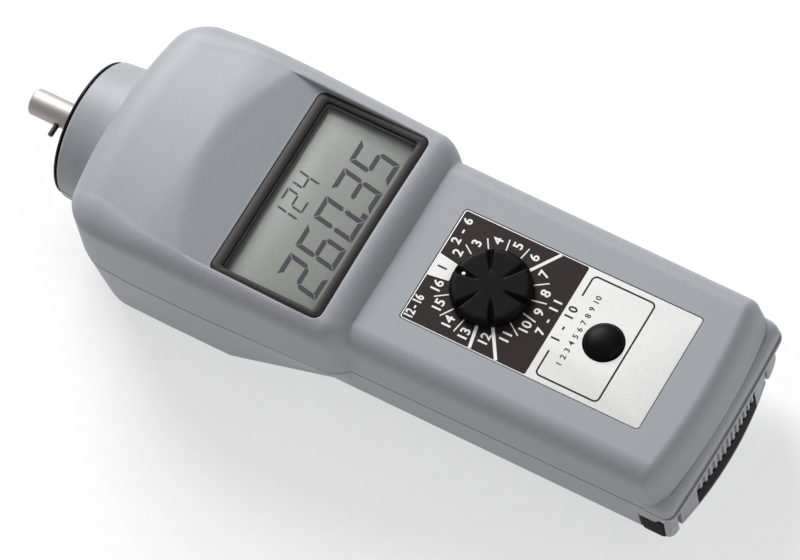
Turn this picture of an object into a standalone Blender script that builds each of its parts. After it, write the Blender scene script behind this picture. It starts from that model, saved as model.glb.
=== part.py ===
"""Handheld contact tachometer, modelled as its separate pieces.

Metres, +Z up. The tool is level, display up, and the flat under its head is its lowest face.
+X runs from the measuring shaft to the tail. Every size below is measured from the shaft
axis and from a datum 11.6 mm behind the shaft tip; the parent empty "shaft_datum" puts
that datum where the middle of the tool's outline is the world origin.
"""
import math

import bmesh
import bpy
from mathutils import Matrix, Vector

MM = 0.001
GAP = 0.3 * MM

# Whole tool
SHAFT_TIP_X = -11.6 * MM
TAIL_END_X = 171.8 * MM
BELLY_DEPTH = 23.5 * MM

# A cutter runs this far past the surface it opens, and this far past the inner face of a wall
OVERRUN = 5.0 * MM
PAST_WALL = 0.2 * MM

# Moulded housing: head
HEAD_FRONT_X = 14.0 * MM
HEAD_HALF_WIDTH = 30.1 * MM
HEAD_END_HALF_WIDTH = 29.2 * MM
HEAD_FULL_UNTIL_X = 50.0 * MM
CREST_X = 38.0 * MM
CREST_HEIGHT = 21.9 * MM
FRONT_TOP_HEIGHT = 20.4 * MM
HEAD_END_HEIGHT = 18.6 * MM
CROWN_RADIUS = 180.0 * MM
CROWN_END_RADIUS = 330.0 * MM
FRONT_BOW_RADIUS = 150.0 * MM
BELLY_END_X = 54.6 * MM
BELLY_HALF_WIDTH = 28.3 * MM
SHOULDER_X = (83.3 * MM, 87.8 * MM)
SHOULDER_SIDE_X = (82.5 * MM, 90.0 * MM)
NOSE_TAPER = 0.8 * MM
NOSE_TAPER_END_X = 30.8 * MM

# Moulded housing: handle and tail
HANDLE_FROM_X = 81.0 * MM
HANDLE_HALF_WIDTH = 26.2 * MM
HANDLE_TAIL_HALF_WIDTH = 25.6 * MM
HANDLE_FLOOR_HALF_WIDTH = 24.8 * MM
HANDLE_TOP = 14.45 * MM
HANDLE_DEPTH = 16.5 * MM
TAIL_WALL_X = 170.4 * MM
TAIL_BEND_FROM_X = 160.4 * MM
TAIL_SLOPE = 0.38
TAIL_SLOPE_FROM_Z = 4.4 * MM
TAIL_UNDERCUT = 0.12
TAIL_BOW_RADIUS = 80.0 * MM
TAIL_TOP_BOW_RADIUS = 150.0 * MM
BEAD_BOW_RADIUS = 200.0 * MM
BEAD_ROUNDING = 2.8 * MM
BEAD_ROUND_SHARE = 0.9
BEAD_ROOT = 1.2 * MM
BEAD_END_INSET = 0.4 * MM
BEAD_END_DROP = 2.5 * MM
BEAD_UPPER_HEIGHT = 4.6 * MM
BEAD_LOWER_HEIGHT = 3.6 * MM
SIDE_DRAFT = 0.3 / 15.0
FRONT_DRAFT = 0.1
WALL = 2.0 * MM
EDGE_RADIUS = 5.0 * MM
FRONT_CORNER_RADIUS = 8.0 * MM
FRONT_ROUND_LENGTH = 9.0 * MM
TAIL_ROUND_LENGTH = 2.5 * MM

# Nose boss around the shaft
BOSS_FRONT_X = 5.0 * MM
BOSS_ROOT_X = 15.5 * MM
BOSS_CHAMFER = 0.4 * MM
BOSS_FRONT_RADIUS = 16.9 * MM
BOSS_ROOT_RADIUS = 17.9 * MM
BOSS_BORE_RADIUS = 14.6 * MM
BOSS_MOUTH_RADIUS = 11.0 * MM
BOSS_WAY_RADIUS = 14.2 * MM
BOSS_WAY_LENGTH = 16.0 * MM
NOSE_RING_FRONT_X = 4.2 * MM
NOSE_RING_RADIUS = 16.4 * MM
NOSE_RING_HOLE_RADIUS = 5.2 * MM

# Measuring spindle
SHAFT_RADIUS = 3.2 * MM
SHAFT_END_X = 46.5 * MM
SHAFT_CHAMFER = 0.5 * MM
DRIVE_PIN_X = -3.6 * MM
DRIVE_PIN_RADIUS = 0.65 * MM
DRIVE_PIN_REACH = 6.2 * MM
DRIVE_PIN_SEAT_Y = 1.7 * MM
BEARING_WIDTH = 5.0 * MM
FRONT_BEARING_X = 5.6 * MM
REAR_BEARING_X = 31.8 * MM
BEARING_OUTER_RADIUS = 7.2 * MM
BEARING_SPLIT_RADIUS = 5.0 * MM
SLEEVE_RADIUS = 9.6 * MM
SLEEVE_END_X = 37.2 * MM
SLEEVE_LIP = 0.6 * MM
FLANGE_RADIUS = 13.8 * MM
FLANGE_X = (7.3 * MM, 9.8 * MM)
DISC_X = 42.3 * MM
DISC_THICKNESS = 0.8 * MM
DISC_RADIUS = 13.0 * MM
DISC_SLOT_COUNT = 20
DISC_SLOT_DEPTH = 3.0 * MM
DISC_SLOT_SHARE = 0.45
HUB_RADIUS = 4.6 * MM
HUB_FLANGE_RADIUS = 5.6 * MM
HUB_FLANGE_THICKNESS = 1.9 * MM
RETAINER_RADIUS = 5.0 * MM
RETAINER_THICKNESS = 1.2 * MM

# Display
BEZEL_X = (53.3 * MM, 81.6 * MM)
BEZEL_HALF_WIDTH = 24.8 * MM
BEZEL_TOP = 17.4 * MM
BEZEL_THICKNESS = 1.9 * MM
BEZEL_CORNER = 1.6 * MM
WINDOW_X = (55.5 * MM, 79.4 * MM)
WINDOW_HALF_WIDTH = 23.4 * MM
WINDOW_CORNER = 0.8 * MM
WINDOW_LOW = 0.1 * MM
WINDOW_THICKNESS = 0.7 * MM
HOOD_SLOPE = 0.318
HOOD_SKIN = 2.2 * MM
TUB_SIDE = 1.5 * MM
TUB_END = 1.8 * MM
TUB_FLOOR = 2.8 * MM
LCD_THICKNESS = 1.7 * MM
LCD_DROP = 0.2 * MM
CONTACT_STRIP_WIDTH = 2.5 * MM

# Label, knob and buttons
LABEL_X = (96.3 * MM, 156.3 * MM)
LABEL_HALF_WIDTH = 14.8 * MM
LABEL_THICKNESS = 0.6 * MM
LABEL_CORNER = 0.6 * MM
KNOB_X = 111.3 * MM
KNOB_RADIUS = 9.4 * MM
KNOB_HEIGHT = 2.4 * MM
KNOB_GROOVE_COUNT = 6
KNOB_GROOVE_DEPTH = 1.3 * MM
KNOB_GROOVE_INNER_X = 3.6 * MM
KNOB_ROOF = 1.0 * MM
KNOB_SHOULDER = (1.2 * MM, 1.1 * MM)
KNOB_MARK_FROM_AXIS = 6.9 * MM
KNOB_MARK_RADIUS = 0.6 * MM
KNOB_MARK_LENGTH = 0.9 * MM
KNOB_MARK_SEAT_DEPTH = 1.5 * MM
SPINDLE_RADIUS = 3.0 * MM
SPINDLE_WAY = 0.5 * MM
ROTARY_SWITCH_RADIUS = 8.0 * MM
MEMORY_X = 139.6 * MM
MEMORY_RADIUS = 4.5 * MM
MEMORY_TOP = 16.0 * MM
MEMORY_DOME = ((0.0, 0.0), (0.45, 0.25 * MM), (0.8, 0.85 * MM), (1.0, 1.7 * MM))
MEMORY_SWITCH_HALF = 3.0 * MM
MEMORY_SWITCH_HEIGHT = 0.6 * MM
MEMORY_FLANGE_RADIUS = 5.8 * MM
MEMORY_FLANGE_LIFT = 1.0 * MM
MEASURE_X = 104.0 * MM
MEASURE_Z = 4.2 * MM
MEASURE_LENGTH = 14.0 * MM
MEASURE_WIDTH = 5.4 * MM
MEASURE_FACE_Y = 27.2 * MM
MEASURE_INNER_Y = 22.6 * MM
MEASURE_CORNER = 2.0 * MM
KEY_FLANGE_Y = (22.0 * MM, 23.2 * MM)
KEY_FLANGE_RIM = 1.2 * MM
KEY_FLANGE_DROP = 0.8 * MM
KEY_FLANGE_RISE = 0.1 * MM
MEASURE_SWITCH_Y = (18.2 * MM, 20.7 * MM)
MEASURE_SWITCH_Z = (2.2 * MM, 7.6 * MM)
MEASURE_SWITCH_HALF = 3.0 * MM

# Electronics and batteries
BOARD_Z = 8.0 * MM
BOARD_THICKNESS = 1.6 * MM
CHIP_THICKNESS = 1.6 * MM
SENSOR_LOW_Z = -17.5 * MM
SENSOR_TOP_Z = -8.0 * MM
SENSOR_BASE = 3.0 * MM
SENSOR_HALF_WIDTH = 5.5 * MM
SENSOR_HALF_LENGTH = 5.0 * MM
SENSOR_HALF_SLOT = 1.5 * MM
CELL_RADIUS = 7.1 * MM
CELL_LENGTH = 50.3 * MM
CELL_SPACING = 15.2 * MM
CELL_Z = -4.2 * MM
CELL_FROM_X = 111.9 * MM
CELL_NIPPLE = 1.6 * MM
CELL_NIPPLE_RADIUS = 2.7 * MM
TRAY_X = (107.4 * MM, 164.8 * MM)
TRAY_HALF_WIDTH = 16.4 * MM
TRAY_WALL = 1.0 * MM
TRAY_LIFT = 0.6 * MM
TRAY_SIDE_HEIGHT = 10.7 * MM
CONTACT_THICKNESS = 0.5 * MM
CONTACT_HALF = 5.0 * MM
CONTACT_BRIDGE_HALF = 13.0 * MM
SPRING_WIRE_RADIUS = 0.3 * MM
SPRING_TURNS = 3
SPRING_RADII = (4.6 * MM, 2.8 * MM)

# Battery cover and feet
COVER_FROM_X = 107.0 * MM
COVER_HALF_WIDTH = 19.2 * MM
COVER_BOW_X = 169.2 * MM
COVER_BOW_RADIUS = 95.0 * MM
COVER_THICKNESS = 1.6 * MM
COVER_WALL_X = 165.4 * MM
COVER_WALL_TOP_Z = -4.1 * MM
COVER_SLIT = 1.1 * MM
COVER_WALL_INSET = 0.1 * MM
COVER_WALL_LIFT = 0.5 * MM
COVER_WALL_RECESS = 0.05 * MM
TONGUE_HALF_WIDTH = 8.0 * MM
TONGUE_THICKNESS = 1.2 * MM
TONGUE_REACH = 3.5 * MM
TONGUE_RISER_X = (1.0 * MM, 4.0 * MM)
SLIDE_LINE_COUNT = 5
SLIDE_LINE_FROM = 10.0 * MM
SLIDE_LINE_PITCH = 3.0 * MM
SLIDE_LINE_WIDTH = 1.2 * MM
SLIDE_LINE_DEPTH = 0.6 * MM
SLIDE_LINE_HALF = 9.0 * MM
LEDGE_X = (104.0 * MM, 157.9 * MM)
LEDGE_Y = (17.6 * MM, 23.6 * MM)
LEDGE_THICKNESS = 1.6 * MM
RIB_FIELD_DEPTH = 0.5 * MM
GRIP_HALF_WIDTH = 13.0 * MM
GRIP_TOP_Z = -8.6 * MM
GRIP_DEPTH = 1.2 * MM
GRIP_POCKET_LIFT = 0.7 * MM
GRIP_LIFT = 0.8 * MM
GRIP_RECESS = 0.1 * MM
FOOT_X = (158.9 * MM, 164.8 * MM)
FOOT_Y = (20.9 * MM, 25.1 * MM)
FOOT_TOP_Z = -13.3 * MM
FOOT_LOW_Z = -18.6 * MM
FOOT_ROUNDING = 1.0 * MM
FOOT_TAPER = 0.82

# Case screws, as (x, y) on the plan
SCREW_PLACES = (
    (27.0 * MM, 22.4 * MM),
    (27.0 * MM, -22.4 * MM),
    (92.0 * MM, 20.4 * MM),
    (92.0 * MM, -20.4 * MM),
)
POST_RADIUS = 3.0 * MM
SCREW_RADIUS = 1.3 * MM
SCREW_HEAD_RADIUS = 2.2 * MM
SCREW_SEAT_RADIUS = 2.6 * MM
SCREW_SOCKET_RADIUS = 0.8 * MM
SCREW_TIP_Z = 7.0 * MM
SCREW_POINT = 1.2 * MM
SCREW_HEAD_HEIGHT = 2.1 * MM
SCREW_HEAD_SUNK = 0.4 * MM
SCREW_SOCKET_DEPTH = 1.2 * MM
SCREW_SEAT_DEPTH = 3.0 * MM
PILOT_TOP_Z = 8.5 * MM

COLOURS = {
    "case_grey": ((0.30, 0.315, 0.33), 0.55, 0.0),
    "bezel_black": ((0.02, 0.018, 0.019), 0.4, 0.0),
    "knob_black": ((0.012, 0.012, 0.013), 0.35, 0.0),
    "rubber": ((0.03, 0.026, 0.025), 0.85, 0.0),
    "steel": ((0.62, 0.58, 0.54), 0.28, 1.0),
    "aluminium": ((0.7, 0.71, 0.72), 0.4, 1.0),
    "brass": ((0.72, 0.52, 0.24), 0.35, 1.0),
    "board_green": ((0.03, 0.16, 0.07), 0.5, 0.0),
    "part_black": ((0.02, 0.02, 0.02), 0.5, 0.0),
    "lcd_glass": ((0.42, 0.47, 0.40), 0.2, 0.0),
    "clear": ((0.85, 0.9, 0.88), 0.05, 0.0),
    "label": ((0.72, 0.71, 0.70), 0.5, 0.0),
    "cell_jacket": ((0.06, 0.16, 0.32), 0.3, 0.3),
    "tray_white": ((0.5, 0.5, 0.48), 0.6, 0.0),
}


# Scene, collections and small helpers

def clear_scene():
    for item in list(bpy.data.objects):
        bpy.data.objects.remove(item, do_unlink=True)


def new_collection(name):
    collection = bpy.data.collections.new(name)
    bpy.context.scene.collection.children.link(collection)
    return collection


clear_scene()
PARTS = new_collection("handheld_tachometer")
CUTTERS = new_collection("cutters")
DATUM = bpy.data.objects.new("shaft_datum", None)
DATUM.location = (-(SHAFT_TIP_X + TAIL_END_X) / 2, 0.0, BELLY_DEPTH)
PARTS.objects.link(DATUM)
MATERIALS = {}


def material(name):
    """The shared material of that name, made on first use."""
    if name not in MATERIALS:
        colour, roughness, metallic = COLOURS[name]
        made = bpy.data.materials.new(name)
        made.use_nodes = True
        shader = made.node_tree.nodes["Principled BSDF"]
        shader.inputs["Base Color"].default_value = (*colour, 1.0)
        shader.inputs["Roughness"].default_value = roughness
        shader.inputs["Metallic"].default_value = metallic
        MATERIALS[name] = made
    return MATERIALS[name]


def place(name, mesh, finish, at=(0, 0, 0)):
    """An object of the tool, placed from the shaft datum."""
    item = bpy.data.objects.new(name, mesh)
    item.parent = DATUM
    item.location = at
    if finish is None:
        CUTTERS.objects.link(item)
        item.hide_render = True
        item.display_type = "WIRE"
    else:
        PARTS.objects.link(item)
        mesh.materials.append(material(finish))
        mesh.shade_smooth()
        mesh.set_sharp_from_angle(angle=math.radians(35))
    return item


def mesh_from(bm, name):
    bmesh.ops.recalc_face_normals(bm, faces=bm.faces)
    mesh = bpy.data.meshes.new(name)
    bm.to_mesh(mesh)
    bm.free()
    return mesh


def box_mesh(name, low, high, bevel=0.0):
    """A box between two corners, its edges rounded where bevel is given."""
    bm = bmesh.new()
    bmesh.ops.create_cube(bm, size=1.0)
    size = Vector(high) - Vector(low)
    middle = (Vector(high) + Vector(low)) / 2
    bmesh.ops.transform(bm, matrix=Matrix.LocRotScale(middle, None, size), verts=bm.verts)
    if bevel:
        bmesh.ops.bevel(bm, geom=bm.edges, offset=bevel, segments=2, affect="EDGES", profile=0.5)
    return mesh_from(bm, name)


def box(name, low, high, finish, bevel=0.0):
    return place(name, box_mesh(name, low, high, bevel), finish)


def rod(name, radius, length, at, axis, finish, sides=24):
    """A cylinder that starts at the given point and runs along the axis."""
    bm = bmesh.new()
    bmesh.ops.create_cone(bm, cap_ends=True, segments=sides, radius1=radius, radius2=radius, depth=length)
    bmesh.ops.translate(bm, vec=(0, 0, length / 2), verts=bm.verts)
    turn = Vector((0, 0, 1)).rotation_difference(Vector(axis)).to_matrix().to_4x4()
    bmesh.ops.transform(bm, matrix=turn, verts=bm.verts)
    return place(name, mesh_from(bm, name), finish, at)


def turned(name, profile, finish, at=(0, 0, 0), axis=(1, 0, 0), steps=32):
    """A (radius, along) profile turned full circle, listed from its far end down its outer side.

    The profile of a solid piece starts and ends on the axis, and that of a ring closes on itself.
    """
    mesh = bpy.data.meshes.new(name)
    count = len(profile)
    solid = profile[0][0] == 0.0
    rows = [(radius, 0.0, along) for radius, along in profile]
    edges = [(index, (index + 1) % count) for index in range(count - 1 if solid else count)]
    mesh.from_pydata(rows, edges, [])
    item = place(name, mesh, finish, at)
    item.rotation_euler = Vector((0, 0, 1)).rotation_difference(Vector(axis)).to_euler()
    screw = item.modifiers.new("turn", "SCREW")
    screw.steps = steps
    screw.render_steps = steps
    screw.use_merge_vertices = True
    screw.merge_threshold = 0.01 * MM
    screw.use_smooth_shade = True
    return item


def extruded_mesh(name, outline, low, high, plane="XY"):
    """A flat outline of (a, b) points pulled from low to high along the plane's normal."""
    bm = bmesh.new()
    order = {"XY": lambda a, b, c: (a, b, c), "XZ": lambda a, b, c: (a, c, b)}[plane]
    corners = [bm.verts.new(order(a, b, low)) for a, b in outline]
    face = bm.faces.new(corners)
    pulled = bmesh.ops.extrude_face_region(bm, geom=[face])
    moved = [part for part in pulled["geom"] if isinstance(part, bmesh.types.BMVert)]
    step = Vector(order(0.0, 0.0, high - low))
    bmesh.ops.translate(bm, vec=step, verts=moved)
    return mesh_from(bm, name)


def extruded(name, outline, low, high, finish, plane="XY"):
    return place(name, extruded_mesh(name, outline, low, high, plane), finish)


def rounded_rectangle(x_range, y_range, radius, steps=4):
    """Points round a rectangle whose four corners are arcs."""
    points = []
    corners = (
        (x_range[1] - radius, y_range[1] - radius, 0),
        (x_range[0] + radius, y_range[1] - radius, 90),
        (x_range[0] + radius, y_range[0] + radius, 180),
        (x_range[1] - radius, y_range[0] + radius, 270),
    )
    for centre_x, centre_y, start in corners:
        for step in range(steps + 1):
            angle = math.radians(start + 90 * step / steps)
            points.append((centre_x + radius * math.cos(angle), centre_y + radius * math.sin(angle)))
    return points


def boolean(item, tool, operation):
    """Keep the tool as a live Boolean of the item."""
    made = item.modifiers.new(operation.lower() + "_" + tool.name, "BOOLEAN")
    made.object = tool
    made.operation = operation
    made.solver = "EXACT"


def cut(item, *tools):
    for tool in tools:
        boolean(item, tool, "DIFFERENCE")


def join(item, *tools):
    for tool in tools:
        boolean(item, tool, "UNION")


# Form of the moulded housing, as functions of the place along the tool

def ramp(x, span, first, last):
    t = min(max((x - span[0]) / (span[1] - span[0]), 0.0), 1.0)
    return first + (last - first) * t


def ease(x, span, first, last):
    t = min(max((x - span[0]) / (span[1] - span[0]), 0.0), 1.0)
    return first + (last - first) * t * t * (3 - 2 * t)


def joint_half_width(x):
    """Half width where the two shells meet: full in the head, stepping in at the shoulder."""
    nose_taper = ramp(x, (HEAD_FRONT_X, NOSE_TAPER_END_X), NOSE_TAPER, 0.0)
    head = ramp(x, (HEAD_FULL_UNTIL_X, SHOULDER_SIDE_X[0]), HEAD_HALF_WIDTH, HEAD_END_HALF_WIDTH)
    handle = ramp(x, (SHOULDER_SIDE_X[1], TAIL_WALL_X), HANDLE_HALF_WIDTH, HANDLE_TAIL_HALF_WIDTH)
    return ease(x, SHOULDER_SIDE_X, head, handle) - nose_taper


def floor_half_width(x):
    return ramp(x, (BELLY_END_X, HANDLE_FROM_X), BELLY_HALF_WIDTH, HANDLE_FLOOR_HALF_WIDTH)


def depth_at(x):
    return ramp(x, (BELLY_END_X, HANDLE_FROM_X), BELLY_DEPTH, HANDLE_DEPTH)


def half_width_at(x, z):
    """Half width at a height: both shells draft inwards, away from their joint."""
    joint = joint_half_width(x)
    if z >= 0:
        return joint - SIDE_DRAFT * z
    return joint + (floor_half_width(x) - joint) * -z / (depth_at(x) - EDGE_RADIUS)


def top_at(x, y):
    """Height of the top skin: rises to the crest, falls to the shoulder, crowned across."""
    rising = ramp(x, (HEAD_FRONT_X, CREST_X), FRONT_TOP_HEIGHT, CREST_HEIGHT)
    head = rising if x < CREST_X else ramp(x, (CREST_X, SHOULDER_X[0]), CREST_HEIGHT, HEAD_END_HEIGHT)
    bend = ramp(x, (CREST_X, SHOULDER_X[0]), 1 / CROWN_RADIUS, 1 / CROWN_END_RADIUS)
    crowned = head - bend * y * y / 2
    return ease(x, SHOULDER_X, crowned, HANDLE_TOP)


def corner_radius_at(x):
    return ramp(x, (HEAD_FRONT_X + FRONT_ROUND_LENGTH, CREST_X), FRONT_CORNER_RADIUS, EDGE_RADIUS)


def tail_bend_at(z):
    """How strongly the tail wall bows in plan: most at its foot, least along the handle's top."""
    return ramp(z, (TAIL_SLOPE_FROM_Z, HANDLE_TOP), 1 / TAIL_BOW_RADIUS, 1 / TAIL_TOP_BOW_RADIUS)


def bent(point):
    """Bow and draft of the front face; bow, slope and undercut of the tail wall."""
    x, y, z = point
    front = ramp(x, (HEAD_FRONT_X + FRONT_ROUND_LENGTH, CREST_X), 1.0, 0.0)
    tail = ramp(x, (TAIL_BEND_FROM_X, TAIL_WALL_X - TAIL_ROUND_LENGTH), 0.0, 1.0)
    x += front * (y * y / (2 * FRONT_BOW_RADIUS) + FRONT_DRAFT * max(0.0, -z))
    x -= tail * tail_bend_at(z) * y * y / 2
    x -= tail * TAIL_SLOPE * max(0.0, z - TAIL_SLOPE_FROM_Z)
    x -= tail * TAIL_UNDERCUT * max(0.0, -z - TAIL_SLOPE_FROM_Z)
    return (x, y, z)


# Each line of the housing's grid is (share of the flat part, share of the corner)
CORNER_STEPS = (1.0, math.tan(math.radians(22.5)))
SIDE_LINES = (
    [(-1.0, -share) for share in CORNER_STEPS]
    + [(share, 0.0) for share in (-1.0, -0.5, 0.0, 0.5, 1.0)]
    + [(1.0, share) for share in reversed(CORNER_STEPS)]
)
HEIGHT_LINES = (
    [(-1.0, -share) for share in CORNER_STEPS]
    + [(share, 0.0) for share in (-1.0, -0.5, 0.0, 0.6, 1.0)]
    + [(1.0, share) for share in reversed(CORNER_STEPS)]
)

# Where the grid has its lines along the tool between the two end roundings, in mm
STATIONS = (28, 33, 38, 44, 50, 54.6, 60, 67, 74, 81, 82.5, 83.6, 84.6, 85.5, 86.4, 87.6, 90, 104, 122,
            140, 153, 159)


def length_lines():
    """Stations along the tool as (x, share of the end rounding)."""
    front = HEAD_FRONT_X + FRONT_ROUND_LENGTH
    tail = TAIL_WALL_X - TAIL_ROUND_LENGTH
    lines = [(front, -share) for share in CORNER_STEPS]
    lines += [(front, 0.0)] + [(value * MM, 0.0) for value in STATIONS] + [(tail, 0.0)]
    lines += [(tail, share) for share in reversed(CORNER_STEPS)]
    return lines


def housing_point(length_line, side_line, height_line, inset):
    """One point of the housing's skin, or of the skin at that depth under it, from its grid lines."""
    x, end_share = length_line
    side_share, side_corner = side_line
    height_share, height_corner = height_line
    way = Vector((end_share, side_corner, height_corner)).normalized()
    reach = corner_radius_at(x)
    end_length = FRONT_ROUND_LENGTH if end_share < 0 else TAIL_ROUND_LENGTH
    if height_share >= 0:
        core_z = height_share * (top_at(x, 0.0) - EDGE_RADIUS)
    else:
        core_z = height_share * (depth_at(x) - EDGE_RADIUS)
    core_y = side_share * (half_width_at(x, core_z) - reach)
    if height_share > 0:
        core_z -= height_share * (top_at(x, 0.0) - top_at(x, core_y))
    return bent((x + way.x * (end_length - inset), core_y + way.y * (reach - inset),
                 core_z + way.z * (EDGE_RADIUS - inset)))


def housing_form(inset=0.0):
    """The closed form: a gridded block whose every point goes to its place on the housing."""
    lines = (length_lines(), SIDE_LINES, HEIGHT_LINES)
    bm = bmesh.new()
    bmesh.ops.create_cube(bm, size=1.0)
    spans = [len(group) - 1 for group in lines]
    bmesh.ops.scale(bm, vec=spans, verts=bm.verts)
    bmesh.ops.translate(bm, vec=[span / 2 for span in spans], verts=bm.verts)
    for axis, span in enumerate(spans):
        normal = [0.0, 0.0, 0.0]
        normal[axis] = 1.0
        for index in range(1, span):
            where = [index * part for part in normal]
            everything = bm.verts[:] + bm.edges[:] + bm.faces[:]
            bmesh.ops.bisect_plane(bm, geom=everything, plane_co=where, plane_no=normal, dist=0.001)
    for vert in bm.verts:
        index = [round(value) for value in vert.co]
        vert.co = housing_point(*(group[place_in] for group, place_in in zip(lines, index)), inset)
    return bm


def half_form(name, upper):
    """The solid above or below the joint plane."""
    bm = housing_form()
    everything = bm.verts[:] + bm.edges[:] + bm.faces[:]
    sliced = bmesh.ops.bisect_plane(bm, geom=everything, plane_co=(0, 0, 0), plane_no=(0, 0, 1),
                                    dist=0.001 * MM, clear_inner=upper, clear_outer=not upper)
    rim = [part for part in sliced["geom_cut"] if isinstance(part, bmesh.types.BMEdge)]
    bmesh.ops.contextual_create(bm, geom=rim)
    return mesh_from(bm, name)


def core(name, upper):
    """What the cavity takes out of a half; the display tub stays solid in the upper one."""
    item = place(name, mesh_from(housing_form(WALL), name), None)
    if upper:
        cut(item, display_tub())
    return item


def shell(name, upper):
    """One moulded half: the half solid less its cavity."""
    item = place(name, half_form(name, upper), "case_grey")
    cut(item, core(name + "_core", upper))
    return item


def boss_tool(name, upper):
    """Half of the nose boss: a drafted cup with a mouth for the bearing sleeve."""
    profile = [
        (BOSS_FRONT_RADIUS, BOSS_FRONT_X + BOSS_CHAMFER),
        (BOSS_ROOT_RADIUS, BOSS_ROOT_X),
        (BOSS_BORE_RADIUS, BOSS_ROOT_X),
        (BOSS_BORE_RADIUS, BOSS_FRONT_X + WALL),
        (BOSS_MOUTH_RADIUS, BOSS_FRONT_X + WALL),
        (BOSS_MOUTH_RADIUS, BOSS_FRONT_X),
        (BOSS_FRONT_RADIUS - BOSS_CHAMFER, BOSS_FRONT_X),
    ]
    item = turned(name, profile, None, steps=36)
    limit = TAIL_END_X
    low = (-limit, -limit, 0.0 if upper else -limit)
    high = (limit, limit, limit if upper else 0.0)
    side = box(name + "_side", low, high, None)
    boolean(item, side, "INTERSECT")
    return item


def front_wall_hole(name):
    """Opens the head's front wall into the boss."""
    start_x = BOSS_FRONT_X + WALL + GAP
    return rod(name, BOSS_WAY_RADIUS, BOSS_WAY_LENGTH, (start_x, 0, 0), (1, 0, 0), None, sides=36)


def block(name, middle, size, finish, rounding, taper=1.0):
    """A block with rounded edges whose underside is drawn in by the taper."""
    bm = bmesh.new()
    bmesh.ops.create_cube(bm, size=1.0)
    bmesh.ops.scale(bm, vec=size, verts=bm.verts)
    for vert in bm.verts:
        if vert.co.z < 0:
            vert.co.x *= taper
            vert.co.y *= taper
    bmesh.ops.bevel(bm, geom=bm.edges, offset=rounding, segments=3, affect="EDGES", profile=0.5)
    return place(name, mesh_from(bm, name), finish, middle)


def bead_root_x(y):
    """Where the bead starts inside the tail wall, drawn in with the wall's rounded corners."""
    corner = (abs(y) - HANDLE_TAIL_HALF_WIDTH + EDGE_RADIUS) / EDGE_RADIUS
    corner = min(max(corner, 0.0), 1.0)
    drawn_in = TAIL_ROUND_LENGTH * (1 - math.sqrt(1 - corner * corner))
    return TAIL_WALL_X - BEAD_ROOT - y * y / (2 * TAIL_BOW_RADIUS) - drawn_in


def tail_bead(name, reach_x, height):
    """The rounded bead across the tail, half of it on each shell: bowed, with rounded ends."""
    straight = HANDLE_TAIL_HALF_WIDTH - BEAD_END_INSET - BEAD_ROUNDING
    stations = [(straight * share, 0.0) for share in (0.0, 0.2, 0.4, 0.6, 0.8, 1.0)]
    for degrees in (30, 55, 75, 90):
        turn = math.radians(degrees)
        drop = BEAD_END_DROP * (1 - math.cos(turn))
        stations.append((straight + BEAD_ROUNDING * math.sin(turn), drop))
    stations = [(-y, drop) for y, drop in reversed(stations[1:])] + stations
    arc = [math.radians(degrees) for degrees in (0, 22.5, 45, 67.5, 90)]
    bm = bmesh.new()
    rings = []
    for y, drop in stations:
        root = bead_root_x(y)
        outer = reach_x - y * y / (2 * BEAD_BOW_RADIUS) - drop
        tall = height - drop
        round_z = min(BEAD_ROUNDING, BEAD_ROUND_SHARE * tall)
        upper = [(outer - BEAD_ROUNDING * (1 - math.cos(angle)), tall - round_z * (1 - math.sin(angle)))
                 for angle in arc]
        lower = [(x, -z) for x, z in reversed(upper)]
        profile = [(root, -tall)] + lower + upper + [(root, tall)]
        rings.append([bm.verts.new((x, y, z)) for x, z in profile])
    count = len(rings[0])
    for one, other in zip(rings, rings[1:]):
        for index in range(count):
            after = (index + 1) % count
            bm.faces.new((one[index], one[after], other[after], other[index]))
    bm.faces.new(rings[0])
    bm.faces.new(list(reversed(rings[-1])))
    return place(name, mesh_from(bm, name), None)


def trim(name, upper):
    """Clears the joint plane by half the gap."""
    limit = TAIL_END_X + OVERRUN
    low_z = -BELLY_DEPTH if upper else -GAP / 2
    high_z = GAP / 2 if upper else BELLY_DEPTH
    return box(name, (-limit, -limit, low_z), (limit, limit, high_z), None)


def hood_floor_at(x):
    """Height of the sloping floor between the crest and the display."""
    return BEZEL_TOP + HOOD_SLOPE * (BEZEL_X[0] - x)


def display_tub():
    """Everything over the underside of the display recess, seen from the side."""
    front_x = CREST_X
    bend_x = BEZEL_X[0] - TUB_SIDE
    end_x = BEZEL_X[1] + TUB_END
    under = BEZEL_TOP - BEZEL_THICKNESS - TUB_FLOOR
    sky = CREST_HEIGHT + OVERRUN
    outline = [
        (front_x, sky),
        (front_x, hood_floor_at(front_x) - HOOD_SKIN),
        (bend_x, hood_floor_at(bend_x) - HOOD_SKIN),
        (bend_x, under),
        (end_x, under),
        (end_x, sky),
    ]
    half = BEZEL_HALF_WIDTH + TUB_SIDE
    return extruded("display_tub", outline, -half, half, None, plane="XZ")


def hood_cutter():
    """The recess seen from the side: sloping hood floor, then the seat of the bezel."""
    seat = BEZEL_TOP - BEZEL_THICKNESS - GAP
    start_x = CREST_X - OVERRUN
    sky = CREST_HEIGHT + OVERRUN
    outline = [
        (start_x, sky),
        (start_x, hood_floor_at(start_x)),
        (BEZEL_X[0] - GAP, hood_floor_at(BEZEL_X[0] - GAP)),
        (BEZEL_X[0] - GAP, seat),
        (BEZEL_X[1] + GAP, seat),
        (BEZEL_X[1] + GAP, sky),
    ]
    half = BEZEL_HALF_WIDTH + GAP
    return extruded("hood_cutter", outline, -half, half, None, plane="XZ")


def window_cutter():
    """The opening under the bezel that the display module sits in."""
    x_range = (WINDOW_X[0] - GAP, WINDOW_X[1] + GAP)
    half = WINDOW_HALF_WIDTH
    outline = rounded_rectangle(x_range, (-half, half), WINDOW_CORNER + PAST_WALL, steps=2)
    return extruded("window_cutter", outline, 0.0, CREST_HEIGHT + OVERRUN, None)


def post(name, at, low, high):
    return rod(name, POST_RADIUS, high - low, (at[0], at[1], low), (0, 0, 1), None, sides=16)


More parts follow.
